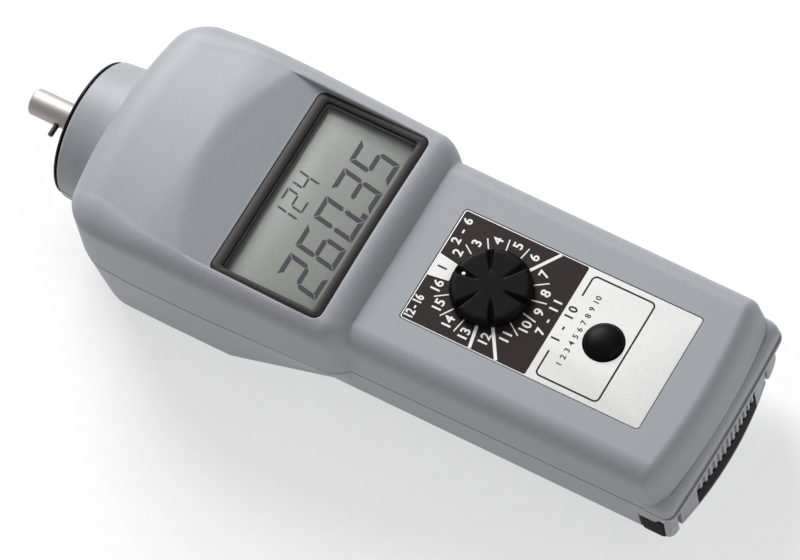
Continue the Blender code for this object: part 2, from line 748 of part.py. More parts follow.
def build_top_shell():
    top = shell("top_shell", True)
    bead = tail_bead("bead_upper", TAIL_END_X - PAST_WALL, BEAD_UPPER_HEIGHT)
    join(top, boss_tool("boss_upper", True), bead)
    for index, at in enumerate(SCREW_PLACES):
        high = top_at(at[0], at[1]) - WALL / 2
        join(top, post(f"post_upper_{index}", at, 0.0, high))
    cut(top, front_wall_hole("front_wall_hole_upper"), hood_cutter(), window_cutter())
    label_x = (LABEL_X[0] - GAP, LABEL_X[1] + GAP)
    label_y = (-LABEL_HALF_WIDTH - GAP, LABEL_HALF_WIDTH + GAP)
    seat = HANDLE_TOP - LABEL_THICKNESS - GAP
    pocket = extruded("label_pocket", rounded_rectangle(label_x, label_y, LABEL_CORNER + GAP, steps=2),
                      seat, HANDLE_TOP + OVERRUN, None)
    cut(top, pocket)
    way = HANDLE_TOP + OVERRUN - BOARD_Z
    cut(top, rod("spindle_hole", SPINDLE_RADIUS + SPINDLE_WAY, way, (KNOB_X, 0, BOARD_Z), (0, 0, 1), None))
    cut(top, rod("memory_hole", MEMORY_RADIUS + GAP, way, (MEMORY_X, 0, BOARD_Z), (0, 0, 1), None))
    half_x = MEASURE_LENGTH / 2 + GAP
    half_z = MEASURE_WIDTH / 2 + GAP
    key_low = (MEASURE_X - half_x, MEASURE_INNER_Y - WALL, MEASURE_Z - half_z)
    key_high = (MEASURE_X + half_x, MEASURE_FACE_Y + OVERRUN, MEASURE_Z + half_z)
    cut(top, box("measure_hole", key_low, key_high, None))
    for index, at in enumerate(SCREW_PLACES):
        hole = rod(f"pilot_{index}", SCREW_RADIUS + GAP, PILOT_TOP_Z + WALL, (at[0], at[1], -WALL), (0, 0, 1),
                   None, sides=12)
        cut(top, hole)
    cut(top, trim("trim_upper", True))
    return top


def foot_pocket(side):
    """Clears the shell's corner for a rear foot."""
    inner = side * (FOOT_Y[0] - GAP)
    outer = side * (FOOT_Y[1] + OVERRUN)
    low = (FOOT_X[0] - GAP, min(inner, outer), -HANDLE_DEPTH - OVERRUN)
    high = (FOOT_X[1] + GAP, max(inner, outer), FOOT_TOP_Z + GAP)
    name = "foot_pocket_left" if side > 0 else "foot_pocket_right"
    return box(name, low, high, None)


def build_back_shell():
    back = shell("back_shell", False)
    join(back, boss_tool("boss_lower", False), tail_bead("bead_lower", TAIL_END_X, BEAD_LOWER_HEIGHT))
    for index, at in enumerate(SCREW_PLACES):
        low = -depth_at(at[0]) + WALL / 2
        join(back, post(f"post_lower_{index}", at, low, 0.0))
    ledge_low = -HANDLE_DEPTH + WALL + GAP
    for side in (1, -1):
        inner, outer = sorted((side * LEDGE_Y[0], side * LEDGE_Y[1]))
        low = (LEDGE_X[0], inner, ledge_low)
        high = (LEDGE_X[1], outer, ledge_low + LEDGE_THICKNESS)
        join(back, box(f"cover_ledge_{side}", low, high, None))
    cut(back, front_wall_hole("front_wall_hole_lower"))
    half = COVER_HALF_WIDTH + GAP
    low = (COVER_FROM_X - GAP, -half, -HANDLE_DEPTH - OVERRUN)
    high = (TAIL_END_X + OVERRUN, half, -HANDLE_DEPTH + WALL + PAST_WALL)
    cut(back, box("cover_opening", low, high, None))
    half = COVER_HALF_WIDTH + COVER_SLIT
    low = (COVER_WALL_X - GAP, -half, -HANDLE_DEPTH - OVERRUN)
    high = (TAIL_END_X + OVERRUN, half, COVER_WALL_TOP_Z + PAST_WALL)
    cut(back, box("rear_opening", low, high, None))
    cut(back, foot_pocket(1), foot_pocket(-1))
    for index, at in enumerate(SCREW_PLACES):
        floor = -depth_at(at[0])
        seat = rod(f"screw_seat_{index}", SCREW_SEAT_RADIUS, SCREW_SEAT_DEPTH + OVERRUN,
                   (at[0], at[1], floor - OVERRUN), (0, 0, 1), None, sides=16)
        hole = rod(f"screw_way_{index}", SCREW_RADIUS + GAP, -floor + OVERRUN, (at[0], at[1], floor),
                   (0, 0, 1), None, sides=12)
        cut(back, seat, hole)
    cut(back, trim("trim_lower", False))
    return back


# Measuring spindle and its bearings

def ring_profile(outer, inner, low, high):
    return [(outer, high), (outer, low), (inner, low), (inner, high)]


def build_spindle():
    end = SHAFT_END_X
    tip = SHAFT_TIP_X
    shaft_profile = [
        (0.0, end),
        (SHAFT_RADIUS - SHAFT_CHAMFER, end),
        (SHAFT_RADIUS, end - SHAFT_CHAMFER),
        (SHAFT_RADIUS, tip + SHAFT_CHAMFER),
        (SHAFT_RADIUS - SHAFT_CHAMFER, tip),
        (0.0, tip),
    ]
    shaft = turned("measuring_shaft", shaft_profile, "steel", steps=28)
    pin_length = DRIVE_PIN_SEAT_Y + DRIVE_PIN_REACH
    cut(shaft, rod("pin_bore", DRIVE_PIN_RADIUS + GAP, pin_length + OVERRUN,
                   (DRIVE_PIN_X, DRIVE_PIN_SEAT_Y + GAP, 0), (0, -1, 0), None, sides=12))
    rod("drive_pin", DRIVE_PIN_RADIUS, pin_length, (DRIVE_PIN_X, DRIVE_PIN_SEAT_Y, 0),
        (0, -1, 0), "part_black", sides=12)
    inner_bore = SHAFT_RADIUS + GAP
    for label, start in (("front", FRONT_BEARING_X), ("rear", REAR_BEARING_X)):
        stop = start + BEARING_WIDTH
        outer_ring = ring_profile(BEARING_OUTER_RADIUS, BEARING_SPLIT_RADIUS, start, stop)
        inner_ring = ring_profile(BEARING_SPLIT_RADIUS - GAP, inner_bore, start, stop)
        turned(label + "_bearing_ring", outer_ring, "steel")
        turned(label + "_bearing_hub", inner_ring, "steel")
    seat = BEARING_OUTER_RADIUS + GAP
    lip = FRONT_BEARING_X - SLEEVE_LIP
    sleeve = [
        (BOSS_MOUTH_RADIUS - GAP, FLANGE_X[0]),
        (BOSS_MOUTH_RADIUS - GAP, lip),
        (seat, lip),
        (seat, FRONT_BEARING_X + BEARING_WIDTH + GAP),
        (BEARING_SPLIT_RADIUS + GAP, FRONT_BEARING_X + BEARING_WIDTH + GAP),
        (BEARING_SPLIT_RADIUS + GAP, REAR_BEARING_X - GAP),
        (seat, REAR_BEARING_X - GAP),
        (seat, SLEEVE_END_X),
        (SLEEVE_RADIUS, SLEEVE_END_X),
        (SLEEVE_RADIUS, FLANGE_X[1]),
        (FLANGE_RADIUS, FLANGE_X[1]),
        (FLANGE_RADIUS, FLANGE_X[0]),
    ]
    turned("bearing_sleeve", sleeve, "aluminium")
    turned("nose_ring", ring_profile(NOSE_RING_RADIUS, NOSE_RING_HOLE_RADIUS, NOSE_RING_FRONT_X,
                                     BOSS_FRONT_X - GAP), "bezel_black", steps=36)
    hub = [
        (HUB_FLANGE_RADIUS, DISC_X - GAP),
        (HUB_FLANGE_RADIUS, DISC_X - GAP - HUB_FLANGE_THICKNESS),
        (HUB_RADIUS, DISC_X - GAP - HUB_FLANGE_THICKNESS),
        (HUB_RADIUS, SLEEVE_END_X + GAP),
        (inner_bore, SLEEVE_END_X + GAP),
        (inner_bore, DISC_X - GAP),
    ]
    turned("disc_hub", hub, "brass")
    retainer_x = DISC_X + DISC_THICKNESS + GAP
    retainer = ring_profile(RETAINER_RADIUS, inner_bore, retainer_x, retainer_x + RETAINER_THICKNESS)
    turned("retaining_ring", retainer, "steel")
    build_encoder_disc(inner_bore)


def build_encoder_disc(bore):
    """Thin disc with a ring of open slots round its rim, read by the slotted sensor."""
    outline = []
    for index in range(DISC_SLOT_COUNT):
        turn = 2 * math.pi / DISC_SLOT_COUNT
        start = index * turn
        for radius, share in (
            (DISC_RADIUS, 0.0),
            (DISC_RADIUS, 1 - DISC_SLOT_SHARE),
            (DISC_RADIUS - DISC_SLOT_DEPTH, 1 - DISC_SLOT_SHARE),
            (DISC_RADIUS - DISC_SLOT_DEPTH, 1.0),
        ):
            angle = start + share * turn
            outline.append((radius * math.cos(angle), radius * math.sin(angle)))
    mesh = extruded_mesh("encoder_disc", outline, 0.0, DISC_THICKNESS)
    disc = place("encoder_disc", mesh, "part_black", (DISC_X, 0, 0))
    disc.rotation_euler = (0, math.radians(90), 0)
    cut(disc, rod("disc_bore", bore, 2 * OVERRUN, (DISC_X - OVERRUN, 0, 0), (1, 0, 0), None, sides=24))


# Display and electronics

def build_display():
    top = BEZEL_TOP
    low = BEZEL_TOP - BEZEL_THICKNESS
    outline = rounded_rectangle(BEZEL_X, (-BEZEL_HALF_WIDTH, BEZEL_HALF_WIDTH), BEZEL_CORNER)
    bezel = extruded("display_bezel", outline, low, top, "bezel_black")
    opening = rounded_rectangle(WINDOW_X, (-WINDOW_HALF_WIDTH, WINDOW_HALF_WIDTH), WINDOW_CORNER, steps=2)
    cut(bezel, extruded("bezel_opening", opening, low - OVERRUN, top + OVERRUN, None))
    window_x = (WINDOW_X[0] + GAP, WINDOW_X[1] - GAP)
    window_half = WINDOW_HALF_WIDTH - GAP
    window_low = low + WINDOW_LOW
    box("display_window", (window_x[0], -window_half, window_low),
        (window_x[1], window_half, window_low + WINDOW_THICKNESS), "clear")
    lcd_top = low - LCD_DROP
    lcd_low = lcd_top - LCD_THICKNESS
    lcd_half = window_half - LCD_DROP
    box("lcd_panel", (window_x[0], -lcd_half, lcd_low), (window_x[1], lcd_half, lcd_top), "lcd_glass")
    strip_end = 1.5 * MM
    strip_half = window_half - strip_end
    strip_top = lcd_low - GAP
    strip_low = BOARD_Z + BOARD_THICKNESS + GAP
    strip_inset = 0.8 * MM
    front_x = window_x[0] + strip_inset
    rear_x = window_x[1] - strip_inset - CONTACT_STRIP_WIDTH
    for label, x in (("front", front_x), ("rear", rear_x)):
        box(label + "_contact_strip", (x, -strip_half, strip_low),
            (x + CONTACT_STRIP_WIDTH, strip_half, strip_top), "rubber")


def build_board():
    """Main board: wide under the display, narrow down the handle, notched round the case posts."""
    head_half = 25.5 * MM
    handle_half = 21.5 * MM
    neck_x = (83.0 * MM, 86.0 * MM)
    start_x = 50.0 * MM
    end_x = 160.0 * MM
    outline = [
        (start_x, -head_half),
        (neck_x[0], -head_half),
        (neck_x[1], -handle_half),
        (end_x, -handle_half),
        (end_x, handle_half),
        (neck_x[1], handle_half),
        (neck_x[0], head_half),
        (start_x, head_half),
    ]
    board = extruded("main_board", outline, BOARD_Z, BOARD_Z + BOARD_THICKNESS, "board_green")
    for index, at in enumerate(SCREW_PLACES[2:]):
        cut(board, rod(f"board_notch_{index}", POST_RADIUS + GAP, 2 * OVERRUN,
                       (at[0], at[1], BOARD_Z - OVERRUN), (0, 0, 1), None, sides=16))
    on_board = BOARD_Z + BOARD_THICKNESS + GAP
    chip_low = (62.0 * MM, -7.0 * MM, on_board)
    chip_high = (74.0 * MM, 5.0 * MM, on_board + CHIP_THICKNESS)
    box("processor", chip_low, chip_high, "part_black", bevel=0.2 * MM)
    sensor_board_low = (33.0 * MM, -13.0 * MM, SENSOR_LOW_Z - GAP - BOARD_THICKNESS)
    sensor_board_high = (56.0 * MM, 13.0 * MM, SENSOR_LOW_Z - GAP)
    box("sensor_board", sensor_board_low, sensor_board_high, "board_green")
    build_sensor()
    ribbon_low = (50.6 * MM, -8.0 * MM, SENSOR_LOW_Z)
    ribbon_high = (51.2 * MM, 8.0 * MM, BOARD_Z - GAP)
    box("board_link", ribbon_low, ribbon_high, "tray_white")


def build_sensor():
    """Slotted light sensor that straddles the lower edge of the encoder disc."""
    middle = DISC_X + DISC_THICKNESS / 2
    slot_floor = SENSOR_LOW_Z + SENSOR_BASE
    outline = [
        (middle - SENSOR_HALF_LENGTH, SENSOR_LOW_Z),
        (middle + SENSOR_HALF_LENGTH, SENSOR_LOW_Z),
        (middle + SENSOR_HALF_LENGTH, SENSOR_TOP_Z),
        (middle + SENSOR_HALF_SLOT, SENSOR_TOP_Z),
        (middle + SENSOR_HALF_SLOT, slot_floor),
        (middle - SENSOR_HALF_SLOT, slot_floor),
        (middle - SENSOR_HALF_SLOT, SENSOR_TOP_Z),
        (middle - SENSOR_HALF_LENGTH, SENSOR_TOP_Z),
    ]
    extruded("slot_sensor", outline, -SENSOR_HALF_WIDTH, SENSOR_HALF_WIDTH, "part_black", plane="XZ")


# Knob, buttons and label

def build_controls():
    label_low = HANDLE_TOP - LABEL_THICKNESS
    outline = rounded_rectangle(LABEL_X, (-LABEL_HALF_WIDTH, LABEL_HALF_WIDTH), LABEL_CORNER, steps=2)
    label = extruded("label_panel", outline, label_low, HANDLE_TOP, "label")
    hole_low = label_low - OVERRUN
    cut(label, rod("label_spindle_hole", SPINDLE_RADIUS + SPINDLE_WAY, 2 * OVERRUN, (KNOB_X, 0, hole_low),
                   (0, 0, 1), None))
    cut(label, rod("label_memory_hole", MEMORY_RADIUS + GAP, 2 * OVERRUN, (MEMORY_X, 0, hole_low),
                   (0, 0, 1), None))
    build_knob()
    on_board = BOARD_Z + BOARD_THICKNESS + GAP
    switch_top = HANDLE_TOP - WALL - GAP
    switch = rod("rotary_switch", ROTARY_SWITCH_RADIUS, switch_top - on_board, (KNOB_X, 0, on_board),
                 (0, 0, 1), "part_black", sides=16)
    cut(switch, rod("switch_bore", SPINDLE_RADIUS + GAP, switch_top - on_board + 2 * OVERRUN,
                    (KNOB_X, 0, on_board - OVERRUN), (0, 0, 1), None))
    memory_switch_top = on_board + MEMORY_SWITCH_HEIGHT
    box("memory_switch", (MEMORY_X - MEMORY_SWITCH_HALF, -MEMORY_SWITCH_HALF, on_board),
        (MEMORY_X + MEMORY_SWITCH_HALF, MEMORY_SWITCH_HALF, memory_switch_top), "part_black")
    build_memory_button(memory_switch_top)
    build_measure_button()


def build_knob():
    """Low turned knob with finger grooves that run out over its rim."""
    top = KNOB_HEIGHT
    socket_top = top - KNOB_ROOF
    shoulder_in, shoulder_down = KNOB_SHOULDER
    profile = [
        (0.0, top),
        (KNOB_RADIUS - shoulder_in, top),
        (KNOB_RADIUS - shoulder_in / 3, top - shoulder_in / 3),
        (KNOB_RADIUS, top - shoulder_down),
        (KNOB_RADIUS, GAP),
        (SPINDLE_RADIUS + GAP, GAP),
        (SPINDLE_RADIUS + GAP, socket_top),
        (0.0, socket_top),
    ]
    knob = turned("selector_knob", profile, "knob_black", (KNOB_X, 0, HANDLE_TOP), (0, 0, 1), steps=36)
    for index in range(KNOB_GROOVE_COUNT):
        angle = 2 * math.pi * index / KNOB_GROOVE_COUNT
        groove = groove_tool(f"knob_groove_{index}")
        groove.location = (KNOB_X, 0, HANDLE_TOP)
        groove.rotation_euler = (0, 0, angle)
        cut(knob, groove)
    mark_x = KNOB_X - KNOB_MARK_FROM_AXIS
    seat_z = HANDLE_TOP + top - KNOB_MARK_SEAT_DEPTH
    rod("knob_mark", KNOB_MARK_RADIUS, KNOB_MARK_LENGTH, (mark_x, 0, seat_z + GAP), (0, 0, 1), "label",
        sides=12)
    cut(knob, rod("knob_mark_seat", KNOB_MARK_RADIUS + GAP, OVERRUN, (mark_x, 0, seat_z), (0, 0, 1), None,
                  sides=12))
    on_board = BOARD_Z + BOARD_THICKNESS + GAP
    spindle_top = HANDLE_TOP + socket_top - GAP
    rod("switch_spindle", SPINDLE_RADIUS, spindle_top - on_board, (KNOB_X, 0, on_board), (0, 0, 1),
        "aluminium", sides=20)


def groove_tool(name):
    """A V groove that deepens towards the rim, pointing along +X from the knob's axis."""
    inner_x = KNOB_GROOVE_INNER_X
    outer_x = KNOB_RADIUS + MM
    top = KNOB_HEIGHT + MM
    inner_half, outer_half = 0.7 * MM, 1.3 * MM
    inner_depth = 0.2 * MM
    bm = bmesh.new()
    inner = [bm.verts.new((inner_x, side * inner_half, top)) for side in (-1, 1)]
    outer = [bm.verts.new((outer_x, side * outer_half, top)) for side in (-1, 1)]
    inner_low = bm.verts.new((inner_x, 0.0, KNOB_HEIGHT - inner_depth))
    outer_low = bm.verts.new((outer_x, 0.0, KNOB_HEIGHT - KNOB_GROOVE_DEPTH))
    bm.faces.new((inner[0], inner[1], inner_low))
    bm.faces.new((outer[0], outer_low, outer[1]))
    bm.faces.new((inner[0], outer[0], outer[1], inner[1]))
    bm.faces.new((inner[0], inner_low, outer_low, outer[0]))
    bm.faces.new((inner[1], outer[1], outer_low, inner_low))
    return place(name, mesh_from(bm, name), None)


def build_memory_button(switch_top):
    """Domed button with a flange that keeps it under the shell."""
    flange_low = switch_top + MEMORY_FLANGE_LIFT
    flange_top = HANDLE_TOP - WALL - GAP
    dome = [(MEMORY_RADIUS * share, MEMORY_TOP - drop) for share, drop in MEMORY_DOME]
    dome += [
        (MEMORY_RADIUS, flange_top),
        (MEMORY_FLANGE_RADIUS, flange_top),
        (MEMORY_FLANGE_RADIUS, flange_low),
        (0.0, flange_low),
    ]
    turned("memory_button", dome, "knob_black", (MEMORY_X, 0, 0), (0, 0, 1), steps=28)


def build_measure_button():
    """Push key in the far side of the handle, with a flange inside the wall."""
    x_range = (MEASURE_X - MEASURE_LENGTH / 2, MEASURE_X + MEASURE_LENGTH / 2)
    z_range = (MEASURE_Z - MEASURE_WIDTH / 2, MEASURE_Z + MEASURE_WIDTH / 2)
    outline = rounded_rectangle(x_range, z_range, MEASURE_CORNER)
    key = extruded("measure_button", outline, MEASURE_INNER_Y, MEASURE_FACE_Y, "knob_black", plane="XZ")
    flange_low = (x_range[0] - KEY_FLANGE_RIM, KEY_FLANGE_Y[0], z_range[0] - KEY_FLANGE_DROP)
    flange_high = (x_range[1] + KEY_FLANGE_RIM, KEY_FLANGE_Y[1], z_range[1] + KEY_FLANGE_RISE)
    join(key, box("key_flange", flange_low, flange_high, None))
    switch_low = (MEASURE_X - MEASURE_SWITCH_HALF, MEASURE_SWITCH_Y[0], MEASURE_SWITCH_Z[0])
    switch_high = (MEASURE_X + MEASURE_SWITCH_HALF, MEASURE_SWITCH_Y[1], MEASURE_SWITCH_Z[1])
    box("measure_switch", switch_low, switch_high, "part_black")


# Batteries, cover and feet

def build_batteries():
    x_from, x_to = TRAY_X
    tray_top = CELL_Z + CELL_RADIUS + TRAY_LIFT + TRAY_WALL
    tray_low = tray_top - TRAY_SIDE_HEIGHT
    tray = box("battery_tray", (x_from, -TRAY_HALF_WIDTH, tray_low), (x_to, TRAY_HALF_WIDTH, tray_top),
               "tray_white")
    inside_half = TRAY_HALF_WIDTH - TRAY_WALL
    inside = box("tray_inside", (x_from + TRAY_WALL, -inside_half, tray_low - OVERRUN),
                 (x_to - TRAY_WALL, inside_half, tray_top - TRAY_WALL), None)
    cut(tray, inside)
    contact_low = CELL_Z - CONTACT_HALF
    contact_high = CELL_Z + CONTACT_HALF
    front_x = x_from + TRAY_WALL + GAP
    rear_x = x_to - TRAY_WALL - GAP
    plate = CONTACT_THICKNESS
    box("contact_bridge", (front_x, -CONTACT_BRIDGE_HALF, contact_low),
        (front_x + plate, CONTACT_BRIDGE_HALF, contact_high), "steel")
    for side, label in ((1, "left"), (-1, "right")):
        y = side * CELL_SPACING / 2
        box(label + "_contact_plate", (rear_x - plate, y - CONTACT_HALF, contact_low),
            (rear_x, y + CONTACT_HALF, contact_high), "steel")
        body = CELL_LENGTH - CELL_NIPPLE
        cell = rod(label + "_cell", CELL_RADIUS, body, (CELL_FROM_X, y, CELL_Z), (1, 0, 0), "cell_jacket",
                   sides=24)
        sunk = CELL_NIPPLE / 4
        nipple_x = CELL_FROM_X + body - sunk if side > 0 else CELL_FROM_X + sunk
        join(cell, rod(label + "_nipple", CELL_NIPPLE_RADIUS, CELL_NIPPLE + PAST_WALL, (nipple_x, y, CELL_Z),
                       (side, 0, 0), None, sides=16))
        build_spring(label, side, front_x + plate + GAP, rear_x - plate - GAP, body)


def build_spring(label, side, front_x, rear_x, body):
    """Compressed conical spring against the flat end of a cell."""
    wire = SPRING_WIRE_RADIUS
    points_per_turn = 10
    if side > 0:
        start, stop = front_x + wire, CELL_FROM_X - GAP - wire
    else:
        start, stop = rear_x - wire, CELL_FROM_X + body + GAP + wire
    curve = bpy.data.curves.new(label + "_spring", "CURVE")
    curve.dimensions = "3D"
    curve.bevel_depth = wire
    curve.bevel_resolution = 1
    curve.use_fill_caps = True
    spline = curve.splines.new("POLY")
    count = SPRING_TURNS * points_per_turn + 1
    spline.points.add(count - 1)
    for index, point in enumerate(spline.points):
        share = index / (count - 1)
        angle = 2 * math.pi * SPRING_TURNS * share
        radius = SPRING_RADII[0] + (SPRING_RADII[1] - SPRING_RADII[0]) * share
        x = start + (stop - start) * share
        y = side * CELL_SPACING / 2 + radius * math.cos(angle)
        point.co = (x, y, CELL_Z + radius * math.sin(angle), 1.0)
    coil = bpy.data.objects.new(label + "_spring", curve)
    coil.parent = DATUM
    PARTS.objects.link(coil)
    curve.materials.append(material("steel"))


def bow_x(y, inset=0.0):
    """The bowed rear edge of the battery cover."""
    radius = COVER_BOW_RADIUS - inset
    return COVER_BOW_X - COVER_BOW_RADIUS + math.sqrt(radius * radius - y * y)


def bowed_outline(x_from, half, inset=0.0, steps=10):
    points = [(x_from, half), (x_from, -half)]
    for step in range(steps + 1):
        y = -half + 2 * half * step / steps
        points.append((bow_x(y, inset), y))
    return points


def build_cover():
    low = -HANDLE_DEPTH
    top = low + COVER_THICKNESS
    cover = extruded("battery_cover", bowed_outline(COVER_FROM_X, COVER_HALF_WIDTH), low, top, "case_grey")
    wall_outline = bowed_outline(COVER_WALL_X, COVER_HALF_WIDTH - COVER_WALL_INSET, COVER_WALL_RECESS)
    wall = extruded("cover_wall", wall_outline, low + COVER_WALL_LIFT, COVER_WALL_TOP_Z, None)
    tongue_low = -HANDLE_DEPTH + WALL + GAP
    tongue_top = tongue_low + TONGUE_THICKNESS
    riser_from, riser_to = (COVER_FROM_X + along for along in TONGUE_RISER_X)
    tongue = box("cover_tongue", (COVER_FROM_X - TONGUE_REACH, -TONGUE_HALF_WIDTH, tongue_low),
                 (riser_to, TONGUE_HALF_WIDTH, tongue_top), None)
    riser = box("tongue_riser", (riser_from, -TONGUE_HALF_WIDTH, low + COVER_WALL_LIFT),
                (riser_to, TONGUE_HALF_WIDTH, tongue_top), None)
    join(cover, wall, riser, tongue)
    for index in range(SLIDE_LINE_COUNT):
        x = COVER_FROM_X + SLIDE_LINE_FROM + index * SLIDE_LINE_PITCH
        cut(cover, box(f"slide_line_{index}", (x, -SLIDE_LINE_HALF, low - OVERRUN),
                       (x + SLIDE_LINE_WIDTH, SLIDE_LINE_HALF, low + SLIDE_LINE_DEPTH), None))
    half = GRIP_HALF_WIDTH + GAP
    past_x = TAIL_END_X + OVERRUN
    seat_x = bow_x(half) - GRIP_DEPTH
    cut(cover, box("grip_pocket", (seat_x, -half, low + GRIP_POCKET_LIFT), (past_x, half, GRIP_TOP_Z + GAP),
                   None))
    field_x = bow_x(half) - RIB_FIELD_DEPTH
    cut(cover, box("rib_field", (field_x, -half, GRIP_TOP_Z), (past_x, half, 0.0), None))
    grip_outline = bowed_outline(seat_x + GAP, GRIP_HALF_WIDTH, GRIP_RECESS)
    extruded("cover_grip", grip_outline, low + GRIP_LIFT, GRIP_TOP_Z, "rubber")


def build_feet():
    for side, label in ((1, "left"), (-1, "right")):
        middle_y = side * (FOOT_Y[0] + FOOT_Y[1]) / 2
        middle = ((FOOT_X[0] + FOOT_X[1]) / 2, middle_y, (FOOT_TOP_Z + FOOT_LOW_Z) / 2)
        size = (FOOT_X[1] - FOOT_X[0], FOOT_Y[1] - FOOT_Y[0], FOOT_TOP_Z - FOOT_LOW_Z)
        block(label + "_rear_foot", middle, size, "rubber", FOOT_ROUNDING, taper=FOOT_TAPER)


def build_screws():
    """Long case screws, driven up from the underside, with a socket in each head."""
    for index, at in enumerate(SCREW_PLACES):
        head_low = -depth_at(at[0]) + SCREW_HEAD_SUNK
        head_top = head_low + SCREW_HEAD_HEIGHT
        socket_floor = head_low + SCREW_SOCKET_DEPTH
        profile = [
            (0.0, SCREW_TIP_Z),
            (SCREW_RADIUS, SCREW_TIP_Z - SCREW_POINT),
            (SCREW_RADIUS, head_top),
            (SCREW_HEAD_RADIUS, head_top),
            (SCREW_HEAD_RADIUS, head_low),
            (SCREW_SOCKET_RADIUS, head_low),
            (SCREW_SOCKET_RADIUS, socket_floor),
            (0.0, socket_floor),
        ]
        turned(f"case_screw_{index + 1}", profile, "steel", (at[0], at[1], 0), (0, 0, 1), steps=12)


def main():
    build_top_shell()
    build_back_shell()
    build_spindle()
    build_display()
    build_board()
    build_controls()
    build_batteries()
    build_cover()
    build_feet()
    build_screws()


main()
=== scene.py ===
"""Handheld contact tachometer: its looks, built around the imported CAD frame.

Pieces are modelled in millimetres from the shaft datum, which lies on the shaft's axis: X runs
from the shaft to the tail, Y to the far side, Z up out of the display side. TO_ROW takes them
to the frame's metres when they are finished.
"""
import math

import bmesh
import bpy
from mathutils import Matrix, Vector


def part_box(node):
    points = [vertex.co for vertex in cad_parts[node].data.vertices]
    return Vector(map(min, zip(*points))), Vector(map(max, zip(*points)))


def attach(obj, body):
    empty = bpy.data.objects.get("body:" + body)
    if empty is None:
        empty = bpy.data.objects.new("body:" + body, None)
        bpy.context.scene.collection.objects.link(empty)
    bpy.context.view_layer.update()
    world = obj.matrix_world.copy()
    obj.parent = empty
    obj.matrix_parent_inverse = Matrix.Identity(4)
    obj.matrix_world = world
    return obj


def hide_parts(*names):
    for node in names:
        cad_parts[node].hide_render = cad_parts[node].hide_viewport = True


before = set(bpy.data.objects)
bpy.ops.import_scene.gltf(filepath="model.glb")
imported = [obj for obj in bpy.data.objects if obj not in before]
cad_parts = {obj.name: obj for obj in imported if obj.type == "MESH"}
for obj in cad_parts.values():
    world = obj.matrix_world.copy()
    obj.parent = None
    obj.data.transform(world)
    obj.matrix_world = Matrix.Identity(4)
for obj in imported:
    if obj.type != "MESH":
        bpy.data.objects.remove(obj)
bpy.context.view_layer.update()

MM = 0.001

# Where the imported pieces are
SHAFT_TIP_X = -11.6
SHAFT_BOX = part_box("measuring_shaft")
DATUM = Vector((SHAFT_BOX[0].x - SHAFT_TIP_X * MM, 0.0, (SHAFT_BOX[0].z + SHAFT_BOX[1].z) / 2))
TO_ROW = Matrix.Translation(DATUM) @ Matrix.Scale(MM, 4)


def span(node):
    """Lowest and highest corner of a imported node, in millimetres from the shaft datum."""
    low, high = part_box(node)
    return (low - DATUM) / MM, (high - DATUM) / MM


def middle_x(node_span):
    """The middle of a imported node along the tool."""
    return (node_span[0].x + node_span[1].x) / 2


def plan_of(node_span):
    """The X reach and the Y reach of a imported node."""
    low, high = node_span
    return (low.x, high.x), (low.y, high.y)


TOP_SHELL = span("top_shell")
BACK_SHELL = span("back_shell")
BEZEL = span("display_bezel")
WINDOW = span("display_window")
LCD = span("lcd_panel")
LABEL = span("label_panel")
KNOB = span("selector_knob")
KNOB_MARK = span("knob_mark")
SPINDLE = span("switch_spindle")
MEMORY = span("memory_button")
MEASURE = span("measure_button")
SHAFT = span("measuring_shaft")
PIN = span("drive_pin")
NOSE_RING = span("nose_ring")
COVER = span("battery_cover")
GRIP = span("cover_grip")
LEFT_FOOT = span("left_rear_foot")

# Moulded housing: head
HEAD_FRONT_X = 14.0
HEAD_HALF_WIDTH = 30.1
HEAD_END_HALF_WIDTH = 29.2
HEAD_FULL_UNTIL_X = 50.0
NOSE_TAPER = 0.8
NOSE_TAPER_END_X = 30.8
CREST_X = 38.0
CREST_HEIGHT = 21.9
FRONT_TOP_HEIGHT = 20.4
HEAD_END_HEIGHT = 18.6
CROWN_RADIUS = 180.0
CROWN_END_RADIUS = 330.0
FRONT_BOW_RADIUS = 150.0
BELLY_END_X = 54.6
BELLY_HALF_WIDTH = 28.3
BELLY_DEPTH = -BACK_SHELL[0].z
SHOULDER_X = (82.7, 88.0)
SHOULDER_SIDE_X = (82.3, 88.4)
SHOULDER_POWER = 2.1

# Moulded housing: handle and tail
HANDLE_FROM_X = 81.0
HANDLE_HALF_WIDTH = 26.2
HANDLE_TAIL_HALF_WIDTH = 25.6
HANDLE_FLOOR_HALF_WIDTH = 24.8
HANDLE_TOP = LABEL[1].z
HANDLE_DEPTH = -COVER[0].z
TAIL_WALL_X = 168.9
TAIL_BEND_FROM_X = 160.4
TAIL_SLOPE = 0.23
TAIL_SLOPE_FROM_Z = 4.4
TAIL_UNDERCUT = 0.12
TAIL_BOW_RADIUS = 150.0

# Tail beads: their ends stand a little past the handle's sides and taper down
BEAD_BOW_RADIUS = 500.0
BEAD_ROUNDING = 2.8
BEAD_ROUND_SHARE = 0.9
BEAD_ROOT = 1.2
BEAD_END_PAST_SIDE = 0.2
BEAD_END_DROP = 1.9
BEAD_END_LENGTH = 2.2
BEAD_SLOT_HALF_LENGTH = 21.5
BEAD_UPPER_HEIGHT = 4.6
BEAD_LOWER_HEIGHT = 3.6
BEAD_UPPER_PROUD = 0.8
BEAD_LOWER_PROUD = 1.3
BEAD_SLOT = 0.45

# Skin of both shells
SIDE_DRAFT = 0.3 / 15.0
FRONT_DRAFT = 0.1
WALL = 2.0
EDGE_RADIUS = 5.0
FRONT_CORNER_RADIUS = 8.0
FRONT_ROUND_LENGTH = 9.0
TAIL_ROUND_LENGTH = 2.5
JOINT_HALF_GAP = 0.15
JOINT_ROUNDING = 0.3
CORE_OVERLAP = 0.5
GAP = 0.3

